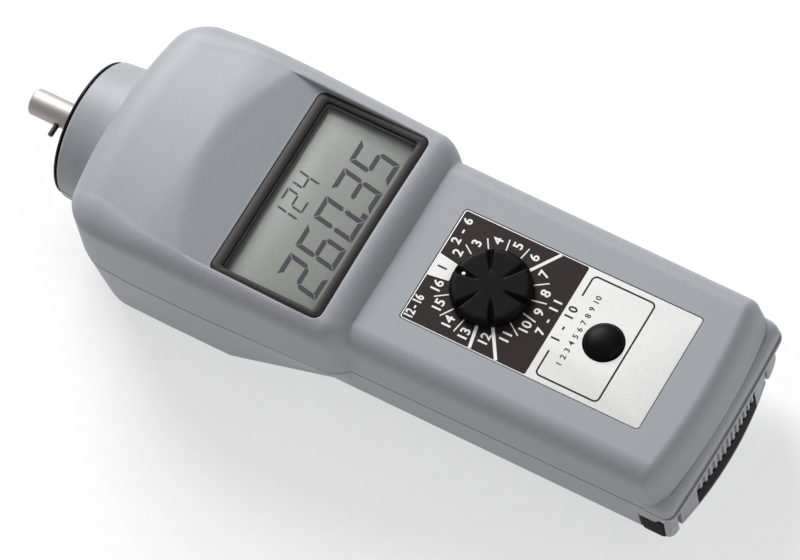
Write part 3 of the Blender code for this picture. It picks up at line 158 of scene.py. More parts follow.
# Hood over the display
HOOD_SLOPE = 0.318
HOOD_HALF_WIDTH = 25.085
HOOD_END_X = 81.9
HOOD_FLOOR_Z = 17.35
HOOD_CORNER_RADIUS = 2.0
HOOD_EDGE_ROUNDING = 0.6
HOOD_EDGE_SHARE = 0.8
CREST_SOFTNESS = 0.35
CREST_ROUNDS = 12
HOOD_CORNER_FADE = (HOOD_CORNER_RADIUS + 0.7, 3 * HOOD_CORNER_RADIUS)
TUB_SKIN = 2.2
TUB_MARGIN = 1.5
TUB_FLOOR_SKIN = 2.8

# Where the grid of the top skin follows the hood, fading in behind the nose and out at the shoulder
BY_HOOD_FROM_X = (24.0, 37.0)
BY_HOOD_UNTIL_X = (84.0, 89.5)
SWEPT_FROM_X = (25.0, 36.9)
SWEPT_UNTIL_X = (42.1, 52.4)

# Nose boss
BOSS_FRONT_X = TOP_SHELL[0].x
BOSS_FRONT_RADIUS = 16.9
BOSS_ROUNDING = 1.1
BOSS_FLARE = [(11.0, 17.35), (12.8, 17.6), (13.6, 17.85)]
BOSS_ROOT_RADIUS = 18.3
BOSS_ROOT_DEPTH = 1.5
BOSS_BORE_RADIUS = 14.6
BOSS_MOUTH_RADIUS = 11.0

# Battery cover
COVER_FROM_X = 107.0
COVER_BOW_X = 169.2
COVER_BOW_RADIUS = 95.0
COVER_THICKNESS = 1.6
COVER_WALL_X = 165.4
COVER_SLIT = 1.1
COVER_TONGUE_TOP = -HANDLE_DEPTH + WALL + 1.5
TONGUE_HALF_WIDTH = 8.0
TONGUE_END_X = 111.0
RISER_FROM_X = 108.0
GRIP_LINES = 5
GRIP_LINES_FROM_X = 117.6
GRIP_LINE_PITCH = 3.0
GRIP_HALF_WIDTH = GRIP[1].y
GRIP_TOP_Z = GRIP[1].z - 2.0
GRIP_DEPTH = 1.2
RIB_FIELD_DEPTH = 0.5
RIB_PITCH = 1.95
RIB_HALF_WIDTH = 0.45
RIBS = 13

# Lower rear corners, the pads let into them, and the ledges that the cover slides on
CORNER_REACH = (158.0, 167.5)
CORNER_TOP_Z = -3.0
FOOT_REACH = (160.5, 166.3)
FOOT_TOP_Z = -5.8
FOOT_PROUD = 0.25
FOOT_GAP = 0.2
LEDGE_FROM_X = 104.0
LEDGE_OVERLAP = 1.6

# How far the cutting forms reach
PAST_TAIL_X = 180.0
BELOW_ALL = -HANDLE_DEPTH - 5.0
INSIDE_Z = 5.0
ABOVE_ALL = 40.0

# Case screws, as (x, y) on the plan
SCREW_PLACES = ((27.0, 22.4), (27.0, -22.4), (92.0, 20.4), (92.0, -20.4))
SCREW_RADIUS = 1.3
SCREW_HEAD_HEIGHT = 2.1
SCREW_HOLE_RADIUS = 1.6
SCREW_SEAT_RADIUS = 2.6
POST_RADIUS = 3.0

# Openings in the top shell
BEZEL_PLAN = ((BEZEL[0].x - 0.05, HOOD_END_X - 0.15), (-24.95, 24.95))
BEZEL_CORNER = 1.85
BEZEL_OPENING = ((55.85, 79.4), (-23.15, 23.15))
BEZEL_LIP = 0.45
OPENING_CORNER = 0.8
LCD_PLAN = plan_of(LCD)
WINDOW_PLAN = plan_of(WINDOW)
LABEL_PLAN = plan_of(LABEL)
KNOB_AT = (middle_x(KNOB), 0.0)
MEMORY_AT = (middle_x(MEMORY), 0.0)
MEMORY_RADIUS = 4.5
KEY_X = (MEASURE[0].x + 1.2, MEASURE[1].x - 1.2)
KEY_Z = (MEASURE[0].z + 0.8, MEASURE[1].z - 0.1)
KEY_HOLE_Y = (20.0, 32.0)


# Forms

def share_of(x, reach):
    """How far x is along the reach, from 0 to 1."""
    return min(max((x - reach[0]) / (reach[1] - reach[0]), 0.0), 1.0)


def ramp(x, reach, first, last):
    """From first to last along the reach, and level outside it."""
    return first + (last - first) * share_of(x, reach)


def ease(x, reach, first, last):
    """As ramp, but setting out and arriving gently."""
    t = share_of(x, reach)
    return first + (last - first) * t * t * (3 - 2 * t)


def rolled_off(x, reach, first, last):
    """From first to last along a rounded shoulder that ends in a crease."""
    return first + (last - first) * share_of(x, reach) ** SHOULDER_POWER


def steps_between(first, last, count):
    """Evenly spaced values from first to last, both included."""
    return [first + (last - first) * index / count for index in range(count + 1)]


def quarter_turn(steps):
    """Angles from 0 to 90 degrees."""
    return [math.radians(90 * step / steps) for step in range(steps + 1)]


def level(outline, z):
    """A flat outline of (x, y) points at a height."""
    return [(x, y, z) for x, y in outline]


def skin(bm, first, second):
    """Faces between two closed rings of corners; a ring of one corner is a pole."""
    count = max(len(first), len(second))
    for index in range(count):
        after = (index + 1) % count
        around = []
        for ring, places in ((first, (index, after)), (second, (after, index))):
            for place in places if len(ring) > 1 else (0,):
                around.append(ring[place])
        bm.faces.new(around)


def turned(profile, centre=(0.0, 0.0, 0.0), axis="X", steps=64, ring=False):
    """A profile of (along, radius) pairs turned round the X or the Z axis through the centre."""
    bm = bmesh.new()
    rows = []
    for along, radius in profile:
        count = steps if radius > 0 else 1
        corners = []
        for index in range(count):
            angle = 2 * math.pi * index / count
            across = (radius * math.cos(angle), radius * math.sin(angle))
            place = (along, *across) if axis == "X" else (*across, along)
            corners.append(bm.verts.new(Vector(centre) + Vector(place)))
        rows.append(corners)
    pairs = list(zip(rows, rows[1:]))
    if ring:
        pairs.append((rows[-1], rows[0]))
    for first, second in pairs:
        skin(bm, first, second)
    bmesh.ops.recalc_face_normals(bm, faces=bm.faces)
    return bm


def rounded_rectangle(x_reach, y_reach, radius, steps=6):
    """Points round a rectangle whose four corners are arcs."""
    points = []
    corners = (
        (x_reach[1] - radius, y_reach[1] - radius, 0),
        (x_reach[0] + radius, y_reach[1] - radius, 90),
        (x_reach[0] + radius, y_reach[0] + radius, 180),
        (x_reach[1] - radius, y_reach[0] + radius, 270),
    )
    for centre_x, centre_y, start in corners:
        for step in range(steps + 1):
            angle = math.radians(start + 90 * step / steps)
            points.append((centre_x + radius * math.cos(angle), centre_y + radius * math.sin(angle)))
    return points


def lofted(rings, caps=True):
    """Closed rings of (x, y, z) points joined in turn, with the first and last filled or joined."""
    bm = bmesh.new()
    rows = [[bm.verts.new(point) for point in ring] for ring in rings]
    pairs = list(zip(rows, rows[1:]))
    if caps:
        bm.faces.new(rows[0])
        bm.faces.new(rows[-1])
    else:
        pairs.append((rows[-1], rows[0]))
    for first, second in pairs:
        skin(bm, first, second)
    bmesh.ops.recalc_face_normals(bm, faces=bm.faces)
    return bm


def slab(outline, low, high):
    """A flat outline of (x, y) points pulled from low to high."""
    return lofted([level(outline, z) for z in (low, high)])


def grown_plan(plan, grown, corner):
    """The outline of a plan, an (x reach, y reach) pair, grown on every side and with round corners."""
    (first_x, last_x), (first_y, last_y) = plan
    return rounded_rectangle((first_x - grown, last_x + grown), (first_y - grown, last_y + grown), corner)


def bead_plate(plan, corner, low, high, rounding, steps):
    """A rounded rectangular plate whose upper edge is rounded over."""
    rings = []
    for z, inset in [(low, 0.0)] + rounded_edge(high, rounding, steps):
        rings.append(level(grown_plan(plan, -inset, max(corner - inset, 0.05)), z))
    return lofted(rings)


def rounded_edge(top, rounding, steps):
    """Heights and insets of a rounded edge, from where it leaves the side to the top."""
    return [(top - rounding * (1 - math.sin(angle)), rounding * (1 - math.cos(angle)))
            for angle in quarter_turn(steps)]


def box_form(low, high, rounding=0.0):
    bm = bmesh.new()
    bmesh.ops.create_cube(bm, size=1.0)
    size = Vector(high) - Vector(low)
    middle = (Vector(high) + Vector(low)) / 2
    bmesh.ops.transform(bm, matrix=Matrix.LocRotScale(middle, None, size), verts=bm.verts)
    if rounding:
        bmesh.ops.bevel(bm, geom=bm.edges, offset=rounding, segments=3, affect="EDGES", profile=0.5)
    return bm


def half_of(bm, upper):
    """The closed part of a form above or below the joint gap."""
    z = JOINT_HALF_GAP if upper else -JOINT_HALF_GAP
    everything = bm.verts[:] + bm.edges[:] + bm.faces[:]
    sliced = bmesh.ops.bisect_plane(bm, geom=everything, plane_co=(0, 0, z), plane_no=(0, 0, 1),
                                    dist=0.00001, clear_inner=upper, clear_outer=not upper)
    rim = [part for part in sliced["geom_cut"] if isinstance(part, bmesh.types.BMEdge)]
    bmesh.ops.triangle_fill(bm, use_beauty=True, edges=rim)
    bmesh.ops.recalc_face_normals(bm, faces=bm.faces)
    return bm


def joined(*forms):
    """Several separate forms as one."""
    whole = bmesh.new()
    for form in forms:
        mesh = mesh_of(form)
        whole.from_mesh(mesh)
        bpy.data.meshes.remove(mesh)
    return whole


def worked(form, *steps):
    """The form after each step, a pair of a Boolean operation and its tool forms."""
    base = linked("base", mesh_of(form))
    spent = [base]
    groups = []
    for operation, tools in steps:
        group = bpy.data.collections.new("tools")
        bpy.context.scene.collection.children.link(group)
        groups.append(group)
        for tool in tools:
            item = bpy.data.objects.new("tool", mesh_of(tool))
            group.objects.link(item)
            spent.append(item)
        modifier = base.modifiers.new("work", "BOOLEAN")
        modifier.operation = operation
        modifier.operand_type = "COLLECTION"
        modifier.collection = group
        modifier.solver = "EXACT"
    result = form_of(evaluated_mesh(base))
    for item in spent:
        bpy.data.objects.remove(item)
    for group in groups:
        bpy.data.collections.remove(group)
    return result


def mesh_of(form):
    """The form as a mesh; the form itself is spent."""
    mesh = bpy.data.meshes.new("form")
    form.to_mesh(mesh)
    form.free()
    return mesh


def form_of(mesh):
    """The mesh as a form; the mesh itself is spent."""
    form = bmesh.new()
    form.from_mesh(mesh)
    bpy.data.meshes.remove(mesh)
    return form


def linked(name, data):
    """A new object in the scene that holds the data."""
    item = bpy.data.objects.new(name, data)
    bpy.context.scene.collection.objects.link(item)
    return item


def evaluated_mesh(item):
    bpy.context.view_layer.update()
    graph = bpy.context.evaluated_depsgraph_get()
    return bpy.data.meshes.new_from_object(item.evaluated_get(graph), depsgraph=graph)


def piece(name, form, finish, body, nodes=(), smooth=30):
    """A finished piece: its form placed in the row, its material, its body and what it replaces."""
    mesh = mesh_of(form)
    mesh.name = name
    mesh.transform(TO_ROW)
    mesh.materials.clear()
    mesh.materials.append(finish)
    mesh.shade_smooth()
    mesh.set_sharp_from_angle(angle=math.radians(smooth))
    item = linked(name, mesh)
    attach(item, body)
    if nodes:
        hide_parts(*nodes)
    return item


# Materials

def recipe(name, colour, roughness, metallic=0.0):
    """A new material's node tree and shader, with the values that are the same all over it."""
    made = bpy.data.materials.new(name)
    made.use_nodes = True
    shader = made.node_tree.nodes["Principled BSDF"]
    shader.inputs["Base Color"].default_value = (*colour, 1.0)
    shader.inputs["Roughness"].default_value = roughness
    shader.inputs["Metallic"].default_value = metallic
    return made, made.node_tree, shader


def noise(tree, size, detail=2.0, stretch=(1.0, 1.0, 1.0)):
    """A noise whose grains are about the given size in millimetres, on Object coordinates."""
    place = tree.nodes.new("ShaderNodeTexCoord")
    mapping = tree.nodes.new("ShaderNodeMapping")
    mapping.inputs["Scale"].default_value = stretch
    grains = tree.nodes.new("ShaderNodeTexNoise")
    grains.inputs["Scale"].default_value = 1.0 / (size * MM)
    grains.inputs["Detail"].default_value = detail
    tree.links.new(place.outputs["Object"], mapping.inputs["Vector"])
    tree.links.new(mapping.outputs["Vector"], grains.inputs["Vector"])
    return grains.outputs["Fac"]


def toned(tree, value, stops):
    """A colour ramp over the value; each stop is (position, colour)."""
    band = tree.nodes.new("ShaderNodeValToRGB")
    while len(band.color_ramp.elements) < len(stops):
        band.color_ramp.elements.new(0.5)
    for element, (position, colour) in zip(band.color_ramp.elements, stops):
        element.position = position
        element.color = (*colour, 1.0)
    tree.links.new(value, band.inputs["Fac"])
    return band.outputs["Color"]


def mixed(tree, first, second, share):
    node = tree.nodes.new("ShaderNodeMix")
    node.data_type = "RGBA"
    factor, left, right = node.inputs[0], node.inputs[6], node.inputs[7]
    for socket, value in ((factor, share), (left, first), (right, second)):
        if isinstance(value, bpy.types.NodeSocket):
            tree.links.new(value, socket)
        elif isinstance(value, tuple):
            socket.default_value = (*value, 1.0)
        else:
            socket.default_value = value
    return node.outputs[2]


def ranged(tree, value, low, high, reach=(0.0, 1.0), smooth=False):
    """The value's reach spread over low to high."""
    node = tree.nodes.new("ShaderNodeMapRange")
    if smooth:
        node.interpolation_type = "SMOOTHSTEP"
    node.inputs["From Min"].default_value = reach[0]
    node.inputs["From Max"].default_value = reach[1]
    node.inputs["To Min"].default_value = low
    node.inputs["To Max"].default_value = high
    tree.links.new(value, node.inputs["Value"])
    return node.outputs["Result"]


def bumped(tree, shader, height, depth):
    """Raises the surface by the height, which runs over the given depth in millimetres."""
    node = tree.nodes.new("ShaderNodeBump")
    node.inputs["Distance"].default_value = depth * MM
    tree.links.new(height, node.inputs["Height"])
    tree.links.new(node.outputs["Normal"], shader.inputs["Normal"])


def object_place(tree):
    """The X, Y and Z of the Object coordinates, in the frame's metres."""
    place = tree.nodes.new("ShaderNodeTexCoord")
    parts = tree.nodes.new("ShaderNodeSeparateXYZ")
    tree.links.new(place.outputs["Object"], parts.inputs["Vector"])
    return parts.outputs


def scaled(colour, share):
    return tuple(part * share for part in colour)


def moulded(name, colour, roughness, grain=0.35, depth=0.02, speckle=0.06, sheen=0.5):
    """Moulded plastic: a fine eroded grain, light and dark specks, and a slow drift of tone."""
    made, tree, shader = recipe(name, colour, roughness)
    grains = noise(tree, grain, detail=3.0)
    specks = toned(tree, grains, [(0.32, scaled(colour, 1 - speckle)), (0.5, colour),
                                  (0.68, scaled(colour, 1 + speckle))])
    drift = ranged(tree, noise(tree, 18.0, detail=1.0), 0.0, 0.5)
    tree.links.new(mixed(tree, specks, scaled(colour, 0.96), drift), shader.inputs["Base Color"])
    tree.links.new(ranged(tree, grains, roughness - 0.06, roughness + 0.08), shader.inputs["Roughness"])
    shader.inputs["Specular IOR Level"].default_value = sheen
    bumped(tree, shader, grains, depth)
    return made


def metal(name, colour, roughness, stretch, size=0.25, depth=0.003, variation=0.12):
    """Metal with fine tool marks drawn out across the stretch."""
    made, tree, shader = recipe(name, colour, roughness, 1.0)
    marks = noise(tree, size, detail=3.0, stretch=stretch)
    tones = toned(tree, marks, [(0.3, scaled(colour, 1 - variation)), (0.7, colour)])
    tree.links.new(tones, shader.inputs["Base Color"])
    tree.links.new(ranged(tree, marks, roughness - 0.08, roughness + 0.1), shader.inputs["Roughness"])
    bumped(tree, shader, marks, depth)
    return made


CASE_GREY = (0.30, 0.315, 0.34)
case_plastic = moulded("case_plastic", CASE_GREY, 0.5, grain=0.4, depth=0.012, speckle=0.07)
bezel_plastic = moulded("bezel_plastic", (0.020, 0.016, 0.017), 0.4, grain=0.5, depth=0.004, speckle=0.2,
                        sheen=0.2)
knob_plastic = moulded("knob_plastic", (0.003, 0.0025, 0.003), 0.42, grain=0.3, depth=0.006, speckle=0.25,
                       sheen=0.08)
ring_plastic = moulded("ring_plastic", (0.010, 0.008, 0.008), 0.5, grain=0.3, depth=0.01, speckle=0.2,
                       sheen=0.2)
foot_rubber = moulded("foot_rubber", (0.012, 0.008, 0.007), 0.8, grain=0.25, depth=0.03, speckle=0.2,
                      sheen=0.2)
tray_plastic = moulded("tray_plastic", (0.50, 0.50, 0.48), 0.55, grain=0.5, depth=0.01, speckle=0.04)
part_plastic = moulded("part_plastic", (0.02, 0.02, 0.022), 0.5, grain=0.2, depth=0.008, speckle=0.2)
shaft_steel = metal("shaft_steel", (0.46, 0.43, 0.41), 0.58, (8.0, 0.4, 0.4), variation=0.06)
plain_steel = metal("plain_steel", (0.60, 0.58, 0.56), 0.32, (1.0, 1.0, 1.0), size=0.6)
turned_aluminium = metal("turned_aluminium", (0.72, 0.72, 0.73), 0.38, (6.0, 0.5, 0.5))
turned_brass = metal("turned_brass", (0.72, 0.52, 0.24), 0.34, (6.0, 0.5, 0.5))


def printed_board():
    """Green solder mask with the lighter run of tracks under it."""
    green = (0.02, 0.13, 0.06)
    made, tree, shader = recipe("printed_board", green, 0.42)
    tracks = noise(tree, 1.6, detail=0.0, stretch=(1.0, 4.0, 1.0))
    tone = toned(tree, tracks, [(0.47, green), (0.5, (0.05, 0.24, 0.10)), (0.53, green)])
    tree.links.new(tone, shader.inputs["Base Color"])
    bumped(tree, shader, tracks, 0.02)
    return made


def display_glass():
    """The liquid crystal's grey-green field, clouded, with painted shade that darkens it towards the
    bezel's shaft-side and far walls in place of the shadow they cast.
    """
    field = (0.215, 0.232, 0.208)
    made, tree, shader = recipe("display_glass", field, 0.30)
    cloud = noise(tree, 0.5, detail=4.0)
    tone = toned(tree, cloud, [(0.35, scaled(field, 0.95)), (0.65, scaled(field, 1.03))])
    parts = object_place(tree)
    # Painted shade: the field darkens over a few millimetres towards the shaft-side and far walls,
    # standing in for their shadow on the display.
    for axis, start, lit_at, dark_at in (("X", DATUM.x, 61.0, 55.0), ("Y", DATUM.y, 17.5, 23.5)):
        reach = (start + lit_at * MM, start + dark_at * MM)
        shade = ranged(tree, parts[axis], 0.0, 0.8, reach, smooth=True)
        tone = mixed(tree, tone, scaled(field, 0.12), shade)
    tree.links.new(tone, shader.inputs["Base Color"])
    return made


def clear_window():
    made, tree, shader = recipe("clear_window", (0.95, 0.97, 0.96), 0.06)
    shader.inputs["Alpha"].default_value = 0.02
    smears = noise(tree, 9.0, detail=3.0)
    tree.links.new(ranged(tree, smears, 0.04, 0.10), shader.inputs["Roughness"])
    return made


def label_ink(name, colour, roughness, sheen=0.5):
    """Screen-printed vinyl: a flat tone with a slight orange-peel surface."""
    made, tree, shader = recipe(name, colour, roughness)
    shader.inputs["Specular IOR Level"].default_value = sheen
    peel = noise(tree, 0.8, detail=2.0)
    tone = toned(tree, peel, [(0.3, scaled(colour, 0.97)), (0.7, scaled(colour, 1.02))])
    tree.links.new(tone, shader.inputs["Base Color"])
    bumped(tree, shader, peel, 0.004)
    return made


def cell_wrap():
    """A printed cell jacket: dark blue body and a lighter band near one end."""
    made, tree, shader = recipe("cell_wrap", (0.03, 0.09, 0.24), 0.25, 0.2)
    low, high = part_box("left_cell")
    along = ranged(tree, object_place(tree)["X"], 0.0, 1.0, (low.x, high.x))
    blue = (0.02, 0.07, 0.22)
    silver = (0.55, 0.56, 0.58)
    band = (0.75, 0.76, 0.78)
    tone = toned(tree, along, [(0.0, silver), (0.03, silver), (0.035, blue), (0.70, blue), (0.705, band),
                               (0.95, band), (0.955, silver)])
    scuffs = noise(tree, 1.5, detail=4.0)
    tree.links.new(mixed(tree, tone, (0.1, 0.1, 0.1), ranged(tree, scuffs, 0.0, 0.15)),
                   shader.inputs["Base Color"])
    return made


lcd_field = display_glass()
lcd_ink = label_ink("lcd_ink", (0.018, 0.016, 0.028), 0.35, 0.2)
board_green = printed_board()
window_clear = clear_window()
label_white = label_ink("label_white", (0.78, 0.78, 0.77), 0.42)
label_dark = label_ink("label_dark", (0.020, 0.012, 0.013), 0.4, 0.15)
battery_wrap = cell_wrap()


# Form of the moulded housing, as functions of the place along the tool

def joint_half_width(x):
    """Half width where the two shells meet: full in the head, stepping in at the shoulder."""
    nose_taper = ramp(x, (HEAD_FRONT_X, NOSE_TAPER_END_X), NOSE_TAPER, 0.0)
    head = ramp(x, (HEAD_FULL_UNTIL_X, SHOULDER_SIDE_X[0]), HEAD_HALF_WIDTH, HEAD_END_HALF_WIDTH)
    handle = ramp(x, (SHOULDER_SIDE_X[1], TAIL_WALL_X), HANDLE_HALF_WIDTH, HANDLE_TAIL_HALF_WIDTH)
    return rolled_off(x, SHOULDER_SIDE_X, head, handle) - nose_taper


def floor_half_width(x):
    return ramp(x, (BELLY_END_X, HANDLE_FROM_X), BELLY_HALF_WIDTH, HANDLE_FLOOR_HALF_WIDTH)


def depth_at(x):
    return ramp(x, (BELLY_END_X, HANDLE_FROM_X), BELLY_DEPTH, HANDLE_DEPTH)


def half_width_at(x, z):
    """Half width at a height: both shells draft inwards, away from their joint."""
    joint = joint_half_width(x)
    if z >= 0:
        return joint - SIDE_DRAFT * z
    return joint + (floor_half_width(x) - joint) * -z / (depth_at(x) - EDGE_RADIUS)


def top_at(x, y):
    """Height of the top skin: rises to the crest, falls to the shoulder, crowned across."""
    rising = ramp(x, (HEAD_FRONT_X, CREST_X), FRONT_TOP_HEIGHT, CREST_HEIGHT)
    head = rising if x < CREST_X else ramp(x, (CREST_X, SHOULDER_X[0]), CREST_HEIGHT, HEAD_END_HEIGHT)
    bend = ramp(x, (CREST_X, SHOULDER_X[0]), 1 / CROWN_RADIUS, 1 / CROWN_END_RADIUS)
    crowned = head - bend * y * y / 2
    return rolled_off(x, SHOULDER_X, crowned, HANDLE_TOP)


def corner_radius_at(x):
    return ramp(x, (HEAD_FRONT_X + FRONT_ROUND_LENGTH, CREST_X), FRONT_CORNER_RADIUS, EDGE_RADIUS)


def bent(point):
    """Bow and draft of the front face; bow, slope and undercut of the tail wall."""
    x, y, z = point
    front = ramp(x, (HEAD_FRONT_X + FRONT_ROUND_LENGTH, CREST_X), 1.0, 0.0)
    tail = ramp(x, (TAIL_BEND_FROM_X, TAIL_WALL_X - TAIL_ROUND_LENGTH), 0.0, 1.0)
    x += front * (y * y / (2 * FRONT_BOW_RADIUS) + FRONT_DRAFT * max(0.0, -z))
    x -= tail * y * y / (2 * TAIL_BOW_RADIUS)
    x -= tail * TAIL_SLOPE * max(0.0, z - TAIL_SLOPE_FROM_Z)
    x -= tail * TAIL_UNDERCUT * max(0.0, -z - TAIL_SLOPE_FROM_Z)
    return (x, y, z)


def flat_edge(x):
    """Where the flat part of the top skin ends and its corner begins."""
    return half_width_at(x, top_at(x, 0.0) - EDGE_RADIUS) - corner_radius_at(x)


def skin_height(x, y):
    """Height of the top skin before the hood is carved."""
    edge = flat_edge(x)
    over = min(max(abs(y) - edge, 0.0) / corner_radius_at(x), 1.0)
    return top_at(x, min(abs(y), edge)) - EDGE_RADIUS * (1 - math.sqrt(1 - over * over))


def hood_floor(x):
    return max(BEZEL[1].z + HOOD_SLOPE * (BEZEL[0].x - x), HOOD_FLOOR_Z)


def crest_x(y):
    """Where the hood's slope comes out of the top skin."""
    x = CREST_X
    for _ in range(CREST_ROUNDS):
        x = BEZEL[0].x + (BEZEL[1].z - top_at(x, y)) / HOOD_SLOPE
    return x


# Lines along the top skin, from the middle to the 45 degree line of its corner. The distances
# hold beside the hood; elsewhere the lines spread evenly over the flat and the corner.
FLAT_LINES = [2.2 * index for index in range(10)] + [21.2, 22.6, 23.6, 24.3]
RAIL_LINES = [24.7, 24.9, 25.05, 25.12, 25.2, 25.35, 25.6]
OUTER_LINES = 3
LAST_LINE = len(FLAT_LINES) + len(RAIL_LINES) + OUTER_LINES - 1


def line_shares(index):
    """A line's share of the flat and its angle round the corner, away from the hood."""
    first_rail = len(FLAT_LINES)
    if index < first_rail:
        return FLAT_LINES[index] / RAIL_LINES[0], 0.0
    return 1.0, math.radians(45 * (index - first_rail) / (LAST_LINE - first_rail))


def line_distance(x, index):
    """A line's distance from the middle of the top skin."""
    share, angle = line_shares(index)
    plain = flat_edge(x) * share + corner_radius_at(x) * math.sin(angle)
    by_hood = FLAT_LINES + RAIL_LINES
    if index < len(by_hood):
        special = by_hood[index]
    else:
        corner = flat_edge(x) + corner_radius_at(x) * math.sin(math.radians(45))
        special = ramp(index, (len(by_hood) - 1, LAST_LINE), RAIL_LINES[-1], corner)
    weight = ease(x, BY_HOOD_FROM_X, 0.0, 1.0) * ease(x, BY_HOOD_UNTIL_X, 1.0, 0.0)
    return plain + (special - plain) * weight


CREST_OFFSETS = (-2.4, -1.6, -1.0, -0.6, -0.3, 0.0, 0.3, 0.6, 1.0, 1.6, 2.4)
CORNER_STEPS = [math.tan(math.radians(45 * step / 5)) for step in (5, 4, 3, 2, 1)]
RECESS_LINES = [52.4, 53.0, 54.6, 57.0]
HOOD_END_LINES = [81.0, 81.5, 81.8, 81.88, 81.95, 82.03, 82.15, 82.3, 82.5, 82.8, 83.3]
CREASE_LINES = [87.8, 88.0, 88.2, 88.4, 88.7, 89.2, 90.0, 92.0]
CORE_LINES = (33.0, 38.0, 44.0, 54.6, 67.0, 81.0, 82.5, 84.0, 86.0, 87.8, 90.0, 120.0)
CORE_ENDS_X = (26.0, 159.0)


def length_lines():
    """Stations along the housing as (x, share of the end rounding)."""
    front = HEAD_FRONT_X + FRONT_ROUND_LENGTH
    tail = TAIL_WALL_X - TAIL_ROUND_LENGTH
    crest = crest_x(0.0)
    between = steps_between(front, crest + CREST_OFFSETS[0], 7)[1:-1]
    between += [crest + offset for offset in CREST_OFFSETS]
    between += steps_between(crest + CREST_OFFSETS[-1], RECESS_LINES[0], 6)[1:-1]
    between += RECESS_LINES + steps_between(60.0, 80.0, 9) + HOOD_END_LINES
    between += steps_between(83.7, 87.6, 10) + CREASE_LINES
    between += steps_between(96.0, 156.0, 10) + [TAIL_BEND_FROM_X, 163.0, 165.5]
    lines = [(front, -share) for share in CORNER_STEPS]
    lines += [(front, 0.0)] + [(x, 0.0) for x in between] + [(tail, 0.0)]
    lines += [(tail, share) for share in reversed(CORNER_STEPS)]
    return lines


def swept_back(station, distance):
    """The station's place at that distance from the middle: near the crest it follows the arc."""
    fade = ramp(station, SWEPT_FROM_X, 0.0, 1.0) * ramp(station, SWEPT_UNTIL_X, 1.0, 0.0)
    reach = min(distance, HOOD_HALF_WIDTH)
    return station + fade * (crest_x(reach) - crest_x(0.0))


def round_hood_corner(x, distance):
    """Bends square lines round the hood's rear corners into arcs."""
    along = x - (HOOD_END_X - HOOD_CORNER_RADIUS)
    across = distance - (HOOD_HALF_WIDTH - HOOD_CORNER_RADIUS)
    if along <= 0 or across <= 0:
        return x, distance
    largest = max(along, across)
    fade = ramp(largest, HOOD_CORNER_FADE, 1.0, 0.0)
    factor = 1 + (largest / math.hypot(along, across) - 1) * fade
    return (HOOD_END_X - HOOD_CORNER_RADIUS + along * factor,
            HOOD_HALF_WIDTH - HOOD_CORNER_RADIUS + across * factor)


def carved_height(x, y, line_x, line_y):
    """Height of the top skin with the hood carved in; the lines say which side of its wall."""
    height = skin_height(x, y)
    floor = hood_floor(x)
    outside = max(line_x - HOOD_END_X, line_y - HOOD_HALF_WIDTH)
    if outside <= 0:
        near = max(CREST_SOFTNESS - abs(height - floor), 0.0) / CREST_SOFTNESS
        return min(height, floor) - near * near * CREST_SOFTNESS / 4
    rounding = min(HOOD_EDGE_ROUNDING, HOOD_EDGE_SHARE * (height - floor))
    if rounding <= outside:
        return height
    reach = rounding - outside
    return height - (rounding - math.sqrt(rounding * rounding - reach * reach))


def housing_point(length_line, index, side, height_line, upper, inset=0.0, carved=True):
    """One point of a half's skin, or of the skin at that depth under it, from its grid lines."""
    station, end = length_line
    height_share, height_corner = height_line
    share, angle = line_shares(index)
    x = station
    distance = 0.0
    if end == 0.0:
        distance = line_distance(station, index)
        x = swept_back(station, distance)
        distance = line_distance(x, index)
        if upper and height_corner > 0.99 and carved:
            warped_x, warped_y = round_hood_corner(x, distance)
            z = carved_height(warped_x, warped_y, x, distance)
            return bent((warped_x, side * warped_y, z))
    sign = 1 if upper else -1
    way = Vector((end, side * math.tan(angle), sign * height_corner)).normalized()
    reach = corner_radius_at(x)
    end_length = FRONT_ROUND_LENGTH if end < 0 else TAIL_ROUND_LENGTH
    top = top_at(x, 0.0) if upper else depth_at(x)
    start = JOINT_HALF_GAP if inset == 0 else -CORE_OVERLAP
    core_z = sign * (start + height_share * (top - EDGE_RADIUS - start))
    core_y = side * share * (half_width_at(x, core_z) - reach)
    if inset == 0:
        over = JOINT_ROUNDING - (abs(core_z) - JOINT_HALF_GAP)
        if over > 0:
            inset = JOINT_ROUNDING - math.sqrt(JOINT_ROUNDING ** 2 - over ** 2)
    if upper and height_share > 0:
        core_z -= height_share * (top_at(x, 0.0) - top_at(x, abs(core_y)))
    return bent((x + way.x * (end_length - inset), core_y + way.y * (reach - inset),
                 core_z + way.z * (EDGE_RADIUS - inset)))


def half_block(upper, stations, sides, heights, **settings):
    """A closed half of the housing: a gridded block whose every corner goes to its place."""
    bm = bmesh.new()
    lines = [(index, -1) for index in reversed(sides[1:])] + [(index, 1) for index in sides]
    spans = (len(stations) - 1, len(lines) - 1, len(heights) - 1)
    corners = {}

    def corner(at):
        if at not in corners:
            index, side = lines[at[1]]
            corners[at] = bm.verts.new(housing_point(stations[at[0]], index, side, heights[at[2]], upper,
                                                     **settings))
        return corners[at]

    walls = [(0, 0), (0, spans[0]), (1, 0), (1, spans[1]), (2, spans[2])]
    for axis, end in walls:
        first, second = [other for other in range(3) if other != axis]
        for a in range(spans[first]):
            for b in range(spans[second]):
                square = []
                for step_a, step_b in ((0, 0), (1, 0), (1, 1), (0, 1)):
                    at = [0, 0, 0]
                    at[axis] = end
                    at[first] = a + step_a
                    at[second] = b + step_b
                    square.append(corner(tuple(at)))
                bm.faces.new(square)
    rim = [edge for edge in bm.edges if edge.is_boundary]
    bmesh.ops.contextual_create(bm, geom=rim)
    bmesh.ops.recalc_face_normals(bm, faces=bm.faces)
    return bm


HEIGHT_LINES = [(share, 0.0) for share in (0.0, 0.005, 0.011, 0.02, 0.035, 0.25, 0.465, 0.65, 0.82, 1.0)]
HEIGHT_LINES += [(1.0, share) for share in reversed(CORNER_STEPS)]


def half_skin(upper):
    return half_block(upper, length_lines(), list(range(LAST_LINE + 1)), HEIGHT_LINES)


